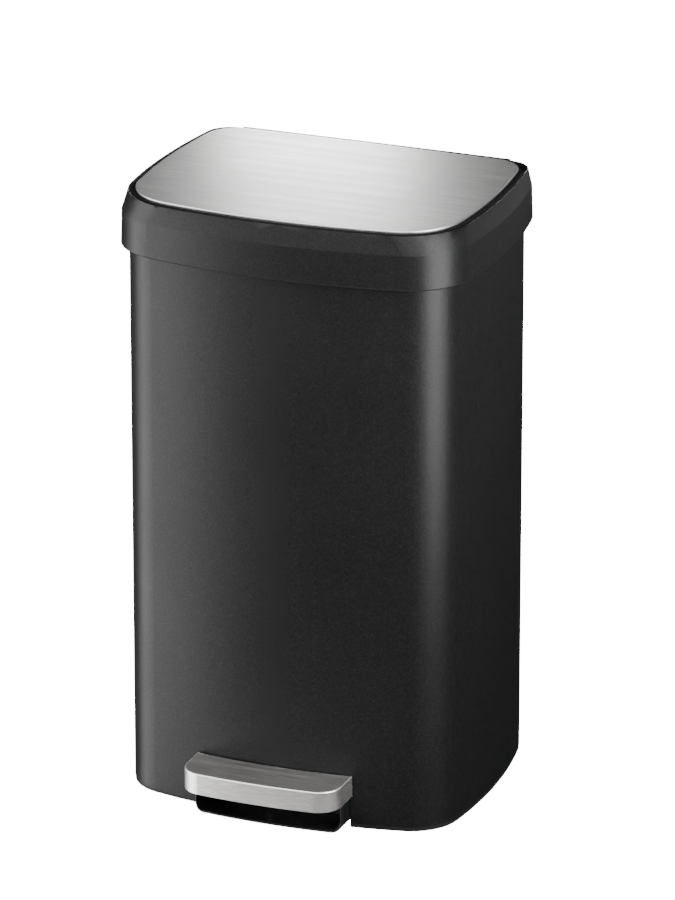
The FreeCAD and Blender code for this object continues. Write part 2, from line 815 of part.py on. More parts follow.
def make_hinge_cover():
    """Black cover behind the lid, flush with the collar's band."""
    body = new_body("hinge_cover")
    tall = "collar_top - cover_bottom"
    solid = pad(body, plan_sketch(body, BODY_PLAN, "cover_bottom", "collar_high"), tall)
    dress(
        body, "Chamfer", solid, number("collar_top"),
        lambda middle: middle.y > SIZES["half_depth"], "cover_bevel",
    )
    pocket(
        body,
        plan_sketch(body, BODY_PLAN, "cover_bottom", "collar_high - cover_wall"),
        tall + " - cover_wall",
    )
    region = block(
        ("-cover_half", "cover_half"),
        ("cover_front", "half_depth + collar_low + 1"),
        ("cover_bottom", "collar_top"),
    )
    cover = document.addObject("Part::Common", "cover")
    cover.Base = body
    cover.Tool = region
    keep("hinge_cover", cover)


def make_hinge_bracket(name, side):
    """Bracket on the seat ring with two ears for the lid's hinge pin."""
    middle = f"{side:+d} * hinge_side"
    base_top = f"{SEAT_TOP} + bracket_base"
    pieces = [
        block(
            (f"{middle} - bracket_half", f"{middle} + bracket_half"),
            ("bracket_front", "bracket_back"),
            (SEAT_TOP, base_top),
        )
    ]
    for way in (-1, 1):
        inner = f"{middle} {way:+d} * (lug_half + seat_gap)"
        outer = f"{middle} {way:+d} * (lug_half + seat_gap + ear_wall)"
        low, high = (inner, outer) if way > 0 else (outer, inner)
        pieces.append(
            block(
                (low, high),
                ("hinge_depth - lug_radius", "hinge_depth + lug_radius"),
                (f"{SEAT_TOP} + bracket_base / 2", "hinge_height"),
            )
        )
        pieces.append(hinge_bar(low, high, "lug_radius"))
    low, high = (f"{middle} - bracket_half - 1", f"{middle} + bracket_half + 1")
    cutters = [hinge_bar(low, high, "hinge_pin_radius + pin_gap")]
    for depth in bracket_screw_depths():
        hole = bar("z", (middle, depth, SEAT_TOP), "screw_radius + pin_gap", "bracket_base + 1")
        cutters.append(hole)
    keep(name, trimmed(joined(pieces), cutters))


def make_hinge_pin(name, side):
    """Steel pin through a bracket's ears and the lid's lug."""
    middle = f"{side:+d} * hinge_side"
    pin = hinge_bar(
        f"{middle} - hinge_pin_length / 2", f"{middle} + hinge_pin_length / 2", "hinge_pin_radius"
    )
    keep(name, pin)


def make_hinge_screws():
    """Screws that hold the hinge brackets down."""
    top = f"{SEAT_TOP} + bracket_base + screw_head_tall"
    screws = [
        screw("z", (f"{sign}hinge_side", depth, top), -1)
        for sign in ("-", "")
        for depth in bracket_screw_depths()
    ]
    group("hinge_screws", screws)


def make_lid_plate():
    """Brushed steel lid plate with a turned-down edge."""
    body = new_body("lid_plate")
    solid = pad(body, plan_sketch(body, LID_PLAN, "lid_top - plate_edge"), "plate_edge")
    dress(body, "Fillet", solid, number("lid_top"), lambda middle: True, "plate_round")
    pocket(
        body,
        plan_sketch(body, LID_PLAN, "lid_top - plate_edge", "0 - plate_wall"),
        "plate_edge - plate_wall",
    )
    keep("lid_plate", body)


def make_lid_frame():
    """Black frame round the lid plate, with a step that the plate sits over."""
    body = new_body("lid_frame")
    base = "lid_top - plate_edge"
    rim = plan_sketch(body, LID_PLAN, "frame_bottom", "frame_grow", "frame_back", "frame_back_corner")
    solid = pad(body, rim, base + " - frame_bottom")
    top = number("lid_top - plate_edge")
    dress(body, "Chamfer", solid, top, lambda middle: True, "frame_bevel")
    step = plan_sketch(body, LID_PLAN, base, "0 - plate_wall - seat_gap")
    pad(body, step, "spigot")
    hole = plan_sketch(body, LID_PLAN, "frame_bottom", "0 - frame_inner")
    pocket(body, hole, "lid_top - frame_bottom")
    notches = []
    for side in (-1, 1):
        middle = f"{side:+d} * hinge_side"
        reach = "lug_half + ear_wall + open_gap * 2"
        notches.append(
            block(
                (f"{middle} - ({reach})", f"{middle} + {reach}"),
                ("hinge_depth - lug_radius * 2", "half_depth"),
                ("frame_bottom - 1", "notch_top"),
            )
        )
    keep("lid_frame", trimmed(body, notches + lid_screw_holes("screw_radius")))


def lid_screw_places():
    """Where the screws join the lid's liner to its frame, all on the frame's inner band."""
    front = "-lid_half_depth + lid_front_bow * (lid_screw_front / lid_half_width) ^ 2 + lid_screw_inset"
    places = [("-lid_screw_front", front), ("lid_screw_front", front)]
    for depth in ("0", "lid_screw_side"):
        out = f"lid_half_width - lid_side_bow * ({depth} / lid_half_depth) ^ 2 - lid_screw_inset"
        places += [(f"-({out})", depth), (out, depth)]
    return places


def lid_screw_holes(radius):
    """Cutters for the lid's screws."""
    start = "frame_bottom - liner_wall - 1"
    return [
        bar("z", (across, depth, start), radius, "screw_long / 2 + 1")
        for across, depth in lid_screw_places()
    ]


def make_lid_liner():
    """Black liner under the lid, with a shallow skirt and the lugs of the hinge."""
    body = new_body("lid_liner")
    under = "frame_bottom - liner_wall"
    back = ("liner_back", "liner_back_corner")
    sheet_plan = plan_sketch(body, LID_PLAN, under, "0 - liner_inset", *back)
    pad(body, sheet_plan, "liner_wall")
    skirt_plan = plan_sketch(
        body, LID_PLAN, under + " - liner_skirt", "0 - liner_inset - liner_skirt_inset",
        "liner_back - liner_skirt_back", "liner_back_corner",
    )
    pad(body, skirt_plan, "liner_skirt")
    hollow = plan_sketch(
        body, LID_PLAN, under + " - liner_skirt", "0 - liner_inset - liner_skirt_inset - liner_wall",
        "liner_back - liner_skirt_back - liner_wall", "liner_back_corner",
    )
    pocket(body, hollow, "liner_skirt")
    pieces = [body]
    for side in (-1, 1):
        middle = f"{side:+d} * hinge_side"
        pieces.append(
            block(
                (f"{middle} - lug_half", f"{middle} + lug_half"),
                ("liner_back - lug_radius", "hinge_depth"),
                (under, "hinge_height + lug_radius"),
            )
        )
        pieces.append(hinge_bar(f"{middle} - lug_half", f"{middle} + lug_half", "lug_radius"))
    bores = []
    for side in (-1, 1):
        middle = f"{side:+d} * hinge_side"
        bore_ends = (f"{middle} - bracket_half", f"{middle} + bracket_half")
        bores.append(hinge_bar(*bore_ends, "hinge_pin_radius + pin_gap"))
    slot = block(
        ("-yoke_thick / 2 - open_gap", "yoke_thick / 2 + open_gap"),
        ("crank_back + open_gap", "liner_back + 1"),
        (under + " - 1", "frame_bottom + 1"),
    )
    rivet_place = "crank_front + rivet_head + open_gap"
    rivet_holes = [
        bar("z", (f"{sign}crank_half * 2 / 3", rivet_place, under), "rivet_radius", "liner_wall")
        for sign in ("-", "")
    ]
    holes = lid_screw_holes("screw_radius + pin_gap") + rivet_holes
    keep("lid_liner", trimmed(joined(pieces), bores + [slot] + holes))


def make_lid_screws():
    """Screws up through the liner into the frame."""
    under = "frame_bottom - liner_wall - screw_head_tall"
    length = "screw_long / 2 + screw_head_tall"
    group("lid_screws", [screw("z", (*place, under), 1, length) for place in lid_screw_places()])


def make_lid_bumpers():
    """Soft pads under the frame that land on the collar's ledge."""
    front = "-lid_half_depth + lid_front_bow * (bumper_side / lid_half_width) ^ 2 - bumper_grow"
    out = "lid_half_width - lid_side_bow * (bumper_back / lid_half_depth) ^ 2 + bumper_grow"
    places = [("-bumper_side", front), ("bumper_side", front)]
    places += [(f"-({out})", "bumper_back"), (out, "bumper_back")]
    tall = "frame_bottom - ledge_top"
    group("lid_bumpers", [bar("z", (*place, "ledge_top"), "bumper_radius", tall) for place in places])


def make_crank():
    """Steel crank under the lid: a plate and two ears that carry the crank pin."""
    under = "frame_bottom - liner_wall"
    gap = "yoke_thick / 2 + open_gap / 2"
    pieces = [
        block(
            ("-crank_half", "crank_half"),
            ("crank_front", "crank_back"),
            (f"{under} - crank_base", under),
        )
    ]
    for side in (-1, 1):
        low, high = mirrored_span(side, gap, gap + " + crank_ear")
        pieces.append(
            block(
                (low, high),
                ("crank_back - crank_boss * 3", f"{CRANK_DEPTH}"),
                (f"{CRANK_HEIGHT} - crank_boss", under),
            )
        )
        pieces.append(bar("x", (low, CRANK_DEPTH, CRANK_HEIGHT), "crank_boss", "crank_ear"))
    hole = "crank_pin_radius + pin_gap"
    bore = bar("x", ("-crank_half", CRANK_DEPTH, CRANK_HEIGHT), hole, "crank_half * 2")
    rivets = [(f"{sign}crank_half * 2 / 3", "crank_front + rivet_head + open_gap") for sign in ("-", "")]
    rivet_low = f"{under} - crank_base"
    rivet_long = "crank_base + liner_wall"
    rivet_bores = [bar("z", (*place, rivet_low), "rivet_radius", "crank_base") for place in rivets]
    keep("lid_crank", trimmed(joined(pieces), [bore] + rivet_bores))
    rivet_pieces = []
    for place in rivets:
        shank = bar("z", (*place, rivet_low), "rivet_radius", rivet_long)
        low_head = bar("z", (*place, f"{rivet_low} - rivet_head_tall"), "rivet_head", "rivet_head_tall")
        high_head = bar("z", (*place, "frame_bottom"), "rivet_head", "rivet_head_tall")
        rivet_pieces.append(joined([shank, low_head, high_head]))
    group("crank_rivets", rivet_pieces)
    reach = f"{gap} + crank_ear + open_gap"
    start = (f"-({reach})", CRANK_DEPTH, CRANK_HEIGHT)
    keep("crank_pin", bar("x", start, "crank_pin_radius", f"2 * ({reach})"))


def make_push_rod():
    """Flat steel rod from the pedal lever up to the lid's crank, with a slotted yoke on top."""
    half = "rod_thick / 2"
    foot_low = f"{LINK_HEIGHT} - rod_foot_tall / 2"
    yoke_low = f"{CRANK_HEIGHT} - yoke_drop"
    rivet_height = f"{yoke_low} + yoke_drop / 4"
    rivet_depths = [f"{ROD_DEPTH} + {way} * rod_wide / 4" for way in (-1, 1)]
    strip = block(
        (f"-{half}", half),
        (f"{ROD_DEPTH} - rod_wide / 2", f"{ROD_DEPTH} + rod_wide / 2"),
        (f"{LINK_HEIGHT}", f"{yoke_low} + yoke_drop / 2"),
    )
    foot = block(
        (f"-{half}", half),
        (f"{ROD_DEPTH} - rod_foot_wide / 2", f"{ROD_DEPTH} + rod_foot_wide / 2"),
        (foot_low, f"{foot_low} + rod_foot_tall"),
    )
    play = "link_radius + link_play"
    slot = block(
        (f"-{half}", half),
        (f"{ROD_DEPTH} - {play} - open_gap", f"{ROD_DEPTH} + {play} + open_gap"),
        (f"{LINK_HEIGHT} - ({play})", f"{LINK_HEIGHT} + {play}"),
    )
    rivet_holes = [
        bar("x", (f"-{half}", depth, rivet_height), "rivet_radius", "rod_thick")
        for depth in rivet_depths
    ]
    keep("push_rod", trimmed(joined([strip, foot]), [slot] + rivet_holes))
    side = "yoke_thick / 2"
    head = block(
        (f"-{side}", side),
        (f"{ROD_DEPTH} - yoke_wide / 2", f"{ROD_DEPTH} + yoke_wide / 2"),
        (yoke_low, f"{CRANK_HEIGHT} + yoke_rise"),
    )
    run = "crank_pin_radius + crank_radius * (1 - cos(crank_angle)) / 2 + yoke_play"
    tall = "crank_pin_radius + yoke_play"
    channel = block(
        (f"-{side}", side),
        (f"{ROD_DEPTH} - ({run})", f"{ROD_DEPTH} + {run}"),
        (f"{CRANK_HEIGHT} - ({tall})", f"{CRANK_HEIGHT} + {tall}"),
    )
    socket = block(
        (f"-{half}", half),
        (f"{ROD_DEPTH} - rod_wide / 2", f"{ROD_DEPTH} + rod_wide / 2"),
        (yoke_low, f"{yoke_low} + yoke_drop / 2"),
    )
    through = [
        bar("x", (f"-{side}", depth, rivet_height), "rivet_radius", "yoke_thick")
        for depth in rivet_depths
    ]
    keep("rod_yoke", trimmed(head, [channel, socket] + through))
    rivets = [
        bar("x", (f"-{side}", depth, rivet_height), "rivet_radius", "yoke_thick")
        for depth in rivet_depths
    ]
    group("yoke_rivets", rivets)


def make_rod_guide(name, height):
    """Guide block on the rear wall with a slot for the push rod."""
    levels = (height, f"{height} + guide_tall")
    whole = block(("-guide_half", "guide_half"), ("guide_front", BACK_INSIDE), levels)
    slot = block(
        ("-rod_thick / 2 - slide_gap", "rod_thick / 2 + slide_gap"),
        (f"{ROD_DEPTH} - rod_wide / 2 - slide_gap", f"{ROD_DEPTH} + rod_wide / 2 + slide_gap"),
        levels,
    )
    pilots = [
        bar("y", (across, "half_depth - screw_long", level), "screw_radius", "screw_long")
        for across, level in guide_screw_places()
    ]
    keep(name, trimmed(whole, [slot] + pilots))


def make_rear_fixings():
    """Screws through the back of the shell for the rod guides and the false floor."""
    head = "half_depth + screw_head_tall"
    guides = [screw("y", (across, head, level), -1) for across, level in guide_screw_places()]
    group("guide_screws", guides)
    bases = [
        screw("y", (across, head, level), -1, "screw_long / 2")
        for across, level in base_screw_places()
    ]
    group("base_screws", bases)


def make_pedal_lever():
    """Steel lever: two arms on the axle joined by a plate under the pedal."""
    pieces = [
        block(
            ("-arm_plate_half", "arm_plate_half"),
            ("-arm_plate_front", "-arm_plate_back"),
            (ARM_UNDER, ARM_TOP),
        )
    ]
    outline = [
        (f"{ROD_DEPTH} + rod_foot_wide / 2", f"{LINK_HEIGHT} - rod_foot_tall / 2 + open_gap / 2"),
        (f"{ROD_DEPTH} + rod_foot_wide / 2", f"{LINK_HEIGHT} + rod_foot_tall / 2 - open_gap"),
        ("arm_boss - axle_depth", "axle_height + arm_boss"),
        ("-arm_plate_back", ARM_UNDER),
        ("-arm_front", ARM_UNDER),
        ("-arm_front", f"{ARM_UNDER} - arm_plate_wall"),
        ("-arm_boss - axle_depth", "axle_height - arm_boss"),
        ("arm_boss - axle_depth", "axle_height - arm_boss"),
    ]
    body = new_body("lever_arms")
    sketch = body.newObject("Sketcher::SketchObject", "lever_arms_sketch")
    plane = [item for item in body.Origin.OriginFeatures if item.Role == "YZ_Plane"][0]
    sketch.AttachmentSupport = [(plane, "")]
    sketch.MapMode = "FlatFace"
    sketch.setExpression("AttachmentOffset.Base.z", bound("arm_inner"))
    guess = [(120, 6), (120, 17), (-21, 29), (-128, 34), (-160, 34), (-160, 31), (-37, 13), (-21, 13)]
    count = len(outline)
    for index in range(count):
        first = FreeCAD.Vector(*guess[index], 0)
        last = FreeCAD.Vector(*guess[(index + 1) % count], 0)
        sketch.addGeometry(Part.LineSegment(first, last))
    for index in range(count):
        sketch.addConstraint(Sketcher.Constraint("Coincident", index, 2, (index + 1) % count, 1))
    for index, (depth, height) in enumerate(outline):
        drive(sketch, "DistanceX", (-1, 1, index, 1), guess[index][0], depth)
        drive(sketch, "DistanceY", (-1, 1, index, 1), guess[index][1], height)
    arm = pad(body, sketch, "arm_wall")
    mirror = body.newObject("PartDesign::Mirrored", "lever_arms_pair")
    mirror.Originals = [arm]
    mirror.MirrorPlane = (plane, [""])
    body.Tip = mirror
    bores = [
        bar("x", ("-saddle_inner", "-axle_depth", "axle_height"), "bush_radius", "saddle_inner * 2"),
        bar("x", ("-saddle_inner", ROD_DEPTH, LINK_HEIGHT), "link_radius", "saddle_inner * 2"),
    ]
    bores += [
        bar("z", (*place, ARM_UNDER), "screw_radius + pin_gap", "arm_plate_wall")
        for place in pedal_screw_places()
    ]
    keep("pedal_lever", trimmed(joined(pieces + [body]), bores))
    reach = "arm_inner + arm_wall + open_gap"
    keep("link_pin", bar("x", (f"-({reach})", ROD_DEPTH, LINK_HEIGHT), "link_radius", f"2 * ({reach})"))


def axle_bore():
    """Cutter for the running bores on the axle."""
    start = ("-axle_half - 1", "-axle_depth", "axle_height")
    return bar("x", start, "axle_radius + pin_gap", "axle_half * 2 + 2")


def make_lever_bush(name, side):
    """Nylon bush in one arm of the lever, with a flange outside."""
    low, high = mirrored_span(side, "arm_inner", "arm_inner + arm_wall")
    out = "arm_inner + arm_wall"
    rim_low = mirrored_span(side, out, f"{out} + bush_flange")[0]
    sleeve = bar("x", (low, "-axle_depth", "axle_height"), "bush_radius", f"{high} - ({low})")
    rim = "bush_radius + bush_flange"
    flange = bar("x", (rim_low, "-axle_depth", "axle_height"), rim, "bush_flange")
    bore = axle_bore()
    keep(name, trimmed(joined([sleeve, flange]), [bore]))


def make_axle():
    """Axle of the pedal lever, its clips, and the saddles under the false floor."""
    start = ("-axle_half", "-axle_depth", "axle_height")
    keep("pedal_axle", bar("x", start, "axle_radius", "axle_half * 2"))
    clips = []
    inner = "saddle_outer + seat_gap"
    for side in (-1, 1):
        low = mirrored_span(side, inner, f"{inner} + clip_wall")[0]
        ring = bar("x", (low, "-axle_depth", "axle_height"), "clip_radius", "clip_wall")
        clips.append(trimmed(ring, [axle_bore()]))
    group("axle_clips", clips)


def make_axle_saddle(name, side):
    """Block under the false floor that carries one end of the axle."""
    low, high = mirrored_span(side, "saddle_inner", "saddle_outer")
    whole = block(
        (low, high),
        ("-axle_depth - saddle_half", "saddle_half - axle_depth"),
        ("saddle_bottom", "tray_top - tray_wall"),
    )
    keep(name, trimmed(whole, [axle_bore()]))


def make_pedal():
    """Brushed steel pedal cap over a black core that is screwed to the lever."""
    body = new_body("pedal_plate")
    tall = "pedal_top - pedal_bottom"
    outside = apron_sketch(
        body, "pedal_bottom", "pedal_half", "pedal_gap", "pedal_reach", "pedal_corner"
    )
    solid = pad(body, outside, tall)

    def on_front(middle):
        """Whether an edge is on the front or a side of the pedal, not along the body."""
        return middle.y < -SIZES["half_depth"] - SIZES["pedal_corner"] / 2 or middle.x != 0

    dress(body, "Fillet", solid, number("pedal_top"), on_front, "pedal_round")
    inner = apron_sketch(
        body, "pedal_bottom", "pedal_half - pedal_wall", "0 - pedal_wall",
        "pedal_reach - pedal_wall", "pedal_corner - pedal_wall",
    )
    pocket(body, inner, tall + " - pedal_wall")
    keep("pedal_plate", body)
    core = new_body("pedal_core")
    pad(
        core,
        apron_sketch(
            core, ARM_TOP, "core_half", "core_back", "pedal_reach - pedal_wall - seat_gap",
            "pedal_corner - pedal_wall",
        ),
        f"pedal_top - pedal_wall - {ARM_TOP}",
    )
    pilots = [
        bar("z", (*place, ARM_UNDER), "screw_radius", "screw_long") for place in pedal_screw_places()
    ]
    keep("pedal_core", trimmed(core, pilots))
    head = f"{ARM_UNDER} - screw_head_tall"
    group("pedal_screws", [screw("z", (*place, head), 1) for place in pedal_screw_places()])


def make_guard():
    """Glossy guard under the pedal: a rounded trough with a slotted back wall."""
    body = new_body("pedal_guard")
    near = "0 - guard_tab"
    pad(
        body,
        apron_sketch(body, "guard_bottom", "guard_half", near, "guard_reach", "guard_corner"),
        "guard_top - guard_bottom",
    )

    def trough(inset, bottom):
        """A long rounded block along Y, for the trough's outside or inside."""
        side = f"guard_half - {inset}"
        bend = f"guard_bend - {inset}"
        low, high = ("-half_depth - pedal_reach", "0")
        flat = f"{side} - ({bend})"
        pieces = [
            block((f"-({flat})", flat), (low, high), (bottom, "guard_top + 1")),
            block((f"-({side})", side), (low, high), (f"{bottom} + {bend}", "guard_top + 1")),
        ]
        for sign in ("-", ""):
            place = (f"{sign}({flat})", low, f"{bottom} + {bend}")
            pieces.append(bar("y", place, bend, "half_depth + pedal_reach"))
        return joined(pieces)

    shape = document.addObject("Part::Common", "guard_outside")
    shape.Base = body
    shape.Tool = trough("0", "guard_bottom")
    hollow = document.addObject("Part::Cut", "guard_inside")
    hollow.Base = trough("guard_wall", "guard_bottom + guard_wall")
    wall_body = new_body("guard_back")
    pad(
        wall_body,
        apron_sketch(
            wall_body, "guard_bottom", "guard_half", "0 - guard_back - guard_wall", "0 - guard_back",
            "guard_back_corner",
        ),
        "guard_top - guard_bottom",
    )
    hollow.Tool = wall_body
    behind = block(
        ("-guard_half - 1", "guard_half + 1"),
        ("guard_tab - half_depth - screw_long", "0"),
        ("guard_bottom + guard_wall + bush_radius", "guard_top + 1"),
    )
    slots = []
    for side in (-1, 1):
        span = mirrored_span(side, "arm_inner - arm_gap", "arm_inner + arm_wall + arm_gap")
        slots.append(block(span, ("-half_depth", "0"), ("guard_slot", "guard_top + 1")))
    sink = "guard_bottom + screw_head_tall"
    holes = []
    for place in guard_screw_places():
        holes.append(bar("z", (*place, "0"), "screw_radius + pin_gap", "guard_top"))
        holes.append(bar("z", (*place, "0"), "screw_head + pin_gap", sink))
    keep("pedal_guard", trimmed(shape, [hollow, behind] + slots + holes))
    screws = [screw("z", (*place, "guard_bottom"), 1) for place in guard_screw_places()]
    group("guard_screws", screws)


def finish():
    """Check every object and write one file for each sub-part."""
    document.recompute()
    for item in document.Objects:
        if {"Invalid", "Error"} & set(item.State):
            raise RuntimeError(f"{item.Label} failed: {item.State}")
    for name, thing in nodes.items():
        if thing.Shape.isNull() or not thing.Shape.isValid():
            raise RuntimeError(f"{name} has no valid shape")
    os.makedirs("parts", exist_ok=True)
    for name, thing in nodes.items():
        thing.Shape.exportStep(f"parts/{name}.step")
        print(f"{name:20s} {len(thing.Shape.Solids)} {thing.Shape.Volume / 1000:10.2f} cm3")


SIDES = {"left": -1, "right": 1}

make_floor_ring()
make_body_shell()
make_base_tray()
make_collar()
make_seat_ring()
make_bucket()
make_hinge_cover()
for word, side in SIDES.items():
    make_hinge_bracket(f"hinge_bracket_{word}", side)
    make_hinge_pin(f"hinge_pin_{word}", side)
    make_lever_bush(f"lever_bush_{word}", side)
    make_axle_saddle(f"axle_saddle_{word}", side)
make_hinge_screws()
make_lid_plate()
make_lid_frame()
make_lid_liner()
make_lid_screws()
make_lid_bumpers()
make_crank()
make_push_rod()
make_rod_guide("rod_guide_lower", "guide_low")
make_rod_guide("rod_guide_upper", "guide_high")
make_rear_fixings()
make_pedal_lever()
make_axle()
make_pedal()
make_guard()
finish()
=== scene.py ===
import json
import math

import bmesh
import bpy
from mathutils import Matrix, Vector
from mathutils.bvhtree import BVHTree

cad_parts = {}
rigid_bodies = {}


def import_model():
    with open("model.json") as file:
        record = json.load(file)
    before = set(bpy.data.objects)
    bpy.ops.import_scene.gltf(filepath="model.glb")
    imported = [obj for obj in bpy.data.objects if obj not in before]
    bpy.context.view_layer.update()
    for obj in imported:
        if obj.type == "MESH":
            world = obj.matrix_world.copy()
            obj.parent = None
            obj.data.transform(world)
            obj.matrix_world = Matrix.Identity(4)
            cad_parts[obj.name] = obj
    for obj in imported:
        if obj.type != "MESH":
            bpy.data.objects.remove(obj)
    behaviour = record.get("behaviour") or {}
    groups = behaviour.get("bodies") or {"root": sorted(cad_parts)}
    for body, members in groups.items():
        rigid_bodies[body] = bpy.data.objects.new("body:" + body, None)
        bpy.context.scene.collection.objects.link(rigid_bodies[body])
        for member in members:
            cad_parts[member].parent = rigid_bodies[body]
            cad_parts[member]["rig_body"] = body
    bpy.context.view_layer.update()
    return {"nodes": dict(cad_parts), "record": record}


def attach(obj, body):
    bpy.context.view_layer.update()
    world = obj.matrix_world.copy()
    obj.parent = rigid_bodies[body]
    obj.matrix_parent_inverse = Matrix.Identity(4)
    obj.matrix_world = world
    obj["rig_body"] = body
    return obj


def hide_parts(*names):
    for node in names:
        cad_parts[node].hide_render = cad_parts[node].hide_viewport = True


bl_info = {
    "name": "Pedal trash can",
    "version": (1, 0, 0),
    "blender": (4, 5, 0),
    "location": "3D View > Sidebar > Pedal can",
    "description": "Finishes the packed parts of a pedal trash can and stands it in a studio",
    "category": "Add Mesh",
}

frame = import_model()

MERGE_DISTANCE = 1e-6
# Faces that turn by less than this are joined into one: more on flat sheet than on curved walls.
FLAT_ANGLE = math.radians(0.4)
CURVED_ANGLE = math.radians(0.02)
# Edges that turn by more than this are rounded, and by more than SMOOTH_ANGLE are shaded sharp.
SHARP_ANGLE = math.radians(28)
SMOOTH_ANGLE = math.radians(50)
# A rounded edge's point may leave the old surface by this part of the rounding.
STRAY_SHARE = 0.6
# How far upward the normal of a rolled edge points, from least to most.
ROLLED_LEAST, ROLLED_MOST = 0.15, 0.97
# The upward part of the normal of a face that counts as level.
LEVEL = 0.9
EDGE_MARK = "rounded_edge"

# Sockets of the colour mix node, which has several of the same name.
MIX_FIRST, MIX_SECOND, MIX_RESULT = 6, 7, 2

WHITE = (1, 1, 1, 1)
# Near white painted on steel's rolled and rounded edges: a painted highlight line.
EDGE_HIGHLIGHT_WHITE = (0.95, 0.95, 0.95)


class PaintSettings(bpy.types.PropertyGroup):
    """Powder coat of the body and collar."""

    colour: bpy.props.FloatVectorProperty(
        name="Coat colour", description="Charcoal of the powder coat",
        subtype="COLOR", size=3, min=0, max=1, default=(0.0030, 0.0030, 0.0033),
    )
    fleck_colour: bpy.props.FloatVectorProperty(
        name="Fleck colour", description="Lighter metallic flecks in the coat",
        subtype="COLOR", size=3, min=0, max=1, default=(0.014, 0.014, 0.015),
    )
    grain: bpy.props.FloatProperty(
        name="Grain", description="Width of one fleck of the coat",
        subtype="DISTANCE", unit="LENGTH", min=0.0002, max=0.01, default=0.0011,
    )
    roughness: bpy.props.FloatProperty(
        name="Roughness", description="How satin the coat is", subtype="FACTOR",
        min=0, max=1, default=0.37,
    )


class SteelSettings(bpy.types.PropertyGroup):
    """Brushed steel of the lid and pedal."""

    colour: bpy.props.FloatVectorProperty(
        name="Steel colour", description="Colour of the bare steel",
        subtype="COLOR", size=3, min=0, max=1, default=(0.68, 0.68, 0.67),
    )
    stroke_length: bpy.props.FloatProperty(
        name="Stroke length", description="Length of one brush stroke across the can",
        subtype="DISTANCE", unit="LENGTH", min=0.002, max=0.5, default=0.060,
    )
    stroke_width: bpy.props.FloatProperty(
        name="Stroke width", description="Width of one brush stroke",
        subtype="DISTANCE", unit="LENGTH", min=0.0001, max=0.01, default=0.0016,
    )
    roughness: bpy.props.FloatProperty(
        name="Roughness", description="Softness of reflections in the steel",
        subtype="FACTOR", min=0, max=1, default=0.33,
    )


class PlasticSettings(bpy.types.PropertyGroup):
    """Moulded plastics and rubber."""

    gloss_colour: bpy.props.FloatVectorProperty(
        name="Gloss black", description="Rim, hinge cover and pedal guard",
        subtype="COLOR", size=3, min=0, max=1, default=(0.006, 0.006, 0.0065),
    )
    matte_colour: bpy.props.FloatVectorProperty(
        name="Matte black", description="False floor, seat ring, liner and floor ring",
        subtype="COLOR", size=3, min=0, max=1, default=(0.008, 0.008, 0.0085),
    )
    bucket_colour: bpy.props.FloatVectorProperty(
        name="Bucket grey", description="Moulded inner bucket",
        subtype="COLOR", size=3, min=0, max=1, default=(0.060, 0.062, 0.066),
    )
    nylon_colour: bpy.props.FloatVectorProperty(
        name="Nylon", description="Guides, yoke and bushes",
        subtype="COLOR", size=3, min=0, max=1, default=(0.42, 0.42, 0.40),
    )
    rubber_colour: bpy.props.FloatVectorProperty(
        name="Rubber", description="Soft stops under the lid",
        subtype="COLOR", size=3, min=0, max=1, default=(0.018, 0.018, 0.018),
    )


class EdgeSettings(bpy.types.PropertyGroup):
    """How far edges are rounded."""

    sheet: bpy.props.FloatProperty(
        name="Sheet edges", description="Rounding of cut sheet steel",
        subtype="DISTANCE", unit="LENGTH", min=0, max=0.002, default=0.0002,
    )
    moulded: bpy.props.FloatProperty(
        name="Moulded edges", description="Rounding of moulded plastic",
        subtype="DISTANCE", unit="LENGTH", min=0, max=0.002, default=0.0004,
    )
    collar_foot: bpy.props.FloatProperty(
        name="Collar foot", description="Rounding of the collar's lower outer edge",
        subtype="DISTANCE", unit="LENGTH", min=0, max=0.004, default=0.0018,
    )
    guard: bpy.props.FloatProperty(
        name="Guard edges", description="Rounding of the guard under the pedal",
        subtype="DISTANCE", unit="LENGTH", min=0, max=0.0012, default=0.0009,
    )
    rim: bpy.props.FloatProperty(
        name="Rim edges", description="Rounding of the black rim round the lid plate",
        subtype="DISTANCE", unit="LENGTH", min=0, max=0.003, default=0.0008,
    )
    groove_inset: bpy.props.FloatProperty(
        name="Lid groove inset", description="From the lid plate's rolled edge to its groove",
        subtype="DISTANCE", unit="LENGTH", min=0, max=0.01, default=0.0007,
    )
    groove_width: bpy.props.FloatProperty(
        name="Lid groove width", description="Width of the groove round the lid plate",
        subtype="DISTANCE", unit="LENGTH", min=0, max=0.01, default=0.0006,
    )
    groove_depth: bpy.props.FloatProperty(
        name="Lid groove depth", description="Depth of the groove round the lid plate",
        subtype="DISTANCE", unit="LENGTH", min=0, max=0.002, default=0.00035,
    )


class StageSettings(bpy.types.PropertyGroup):
    """Studio floor and lights."""

    floor_colour: bpy.props.FloatVectorProperty(
        name="Floor", description="Plain pale floor", subtype="COLOR", size=3,
        min=0, max=1, default=(0.86, 0.86, 0.86),
    )
    floor_glow: bpy.props.FloatProperty(
        name="Floor glow", description="Light the pale floor gives off by itself",
        min=0, max=50, default=17.0,
    )
    air: bpy.props.FloatProperty(
        name="Backdrop", description="Brightness of the plain backdrop",
        min=0, max=50, default=17.0,
    )


GROUPS = {
    "can_paint": PaintSettings,
    "can_steel": SteelSettings,
    "can_plastic": PlasticSettings,
    "can_edges": EdgeSettings,
    "can_stage": StageSettings,
}


# ---------------------------------------------------------------- shader groups


def new_group(name, inputs, outputs):
    """An empty shader group with named float inputs and outputs."""
    group = bpy.data.node_groups.new(name, "ShaderNodeTree")
    for title, kind, value in inputs:
        socket = group.interface.new_socket(title, in_out="INPUT", socket_type=kind)
        if value is not None:
            socket.default_value = value
    for title, kind in outputs:
        group.interface.new_socket(title, in_out="OUTPUT", socket_type=kind)
    start = group.nodes.new("NodeGroupInput")
    end = group.nodes.new("NodeGroupOutput")
    return group, start, end


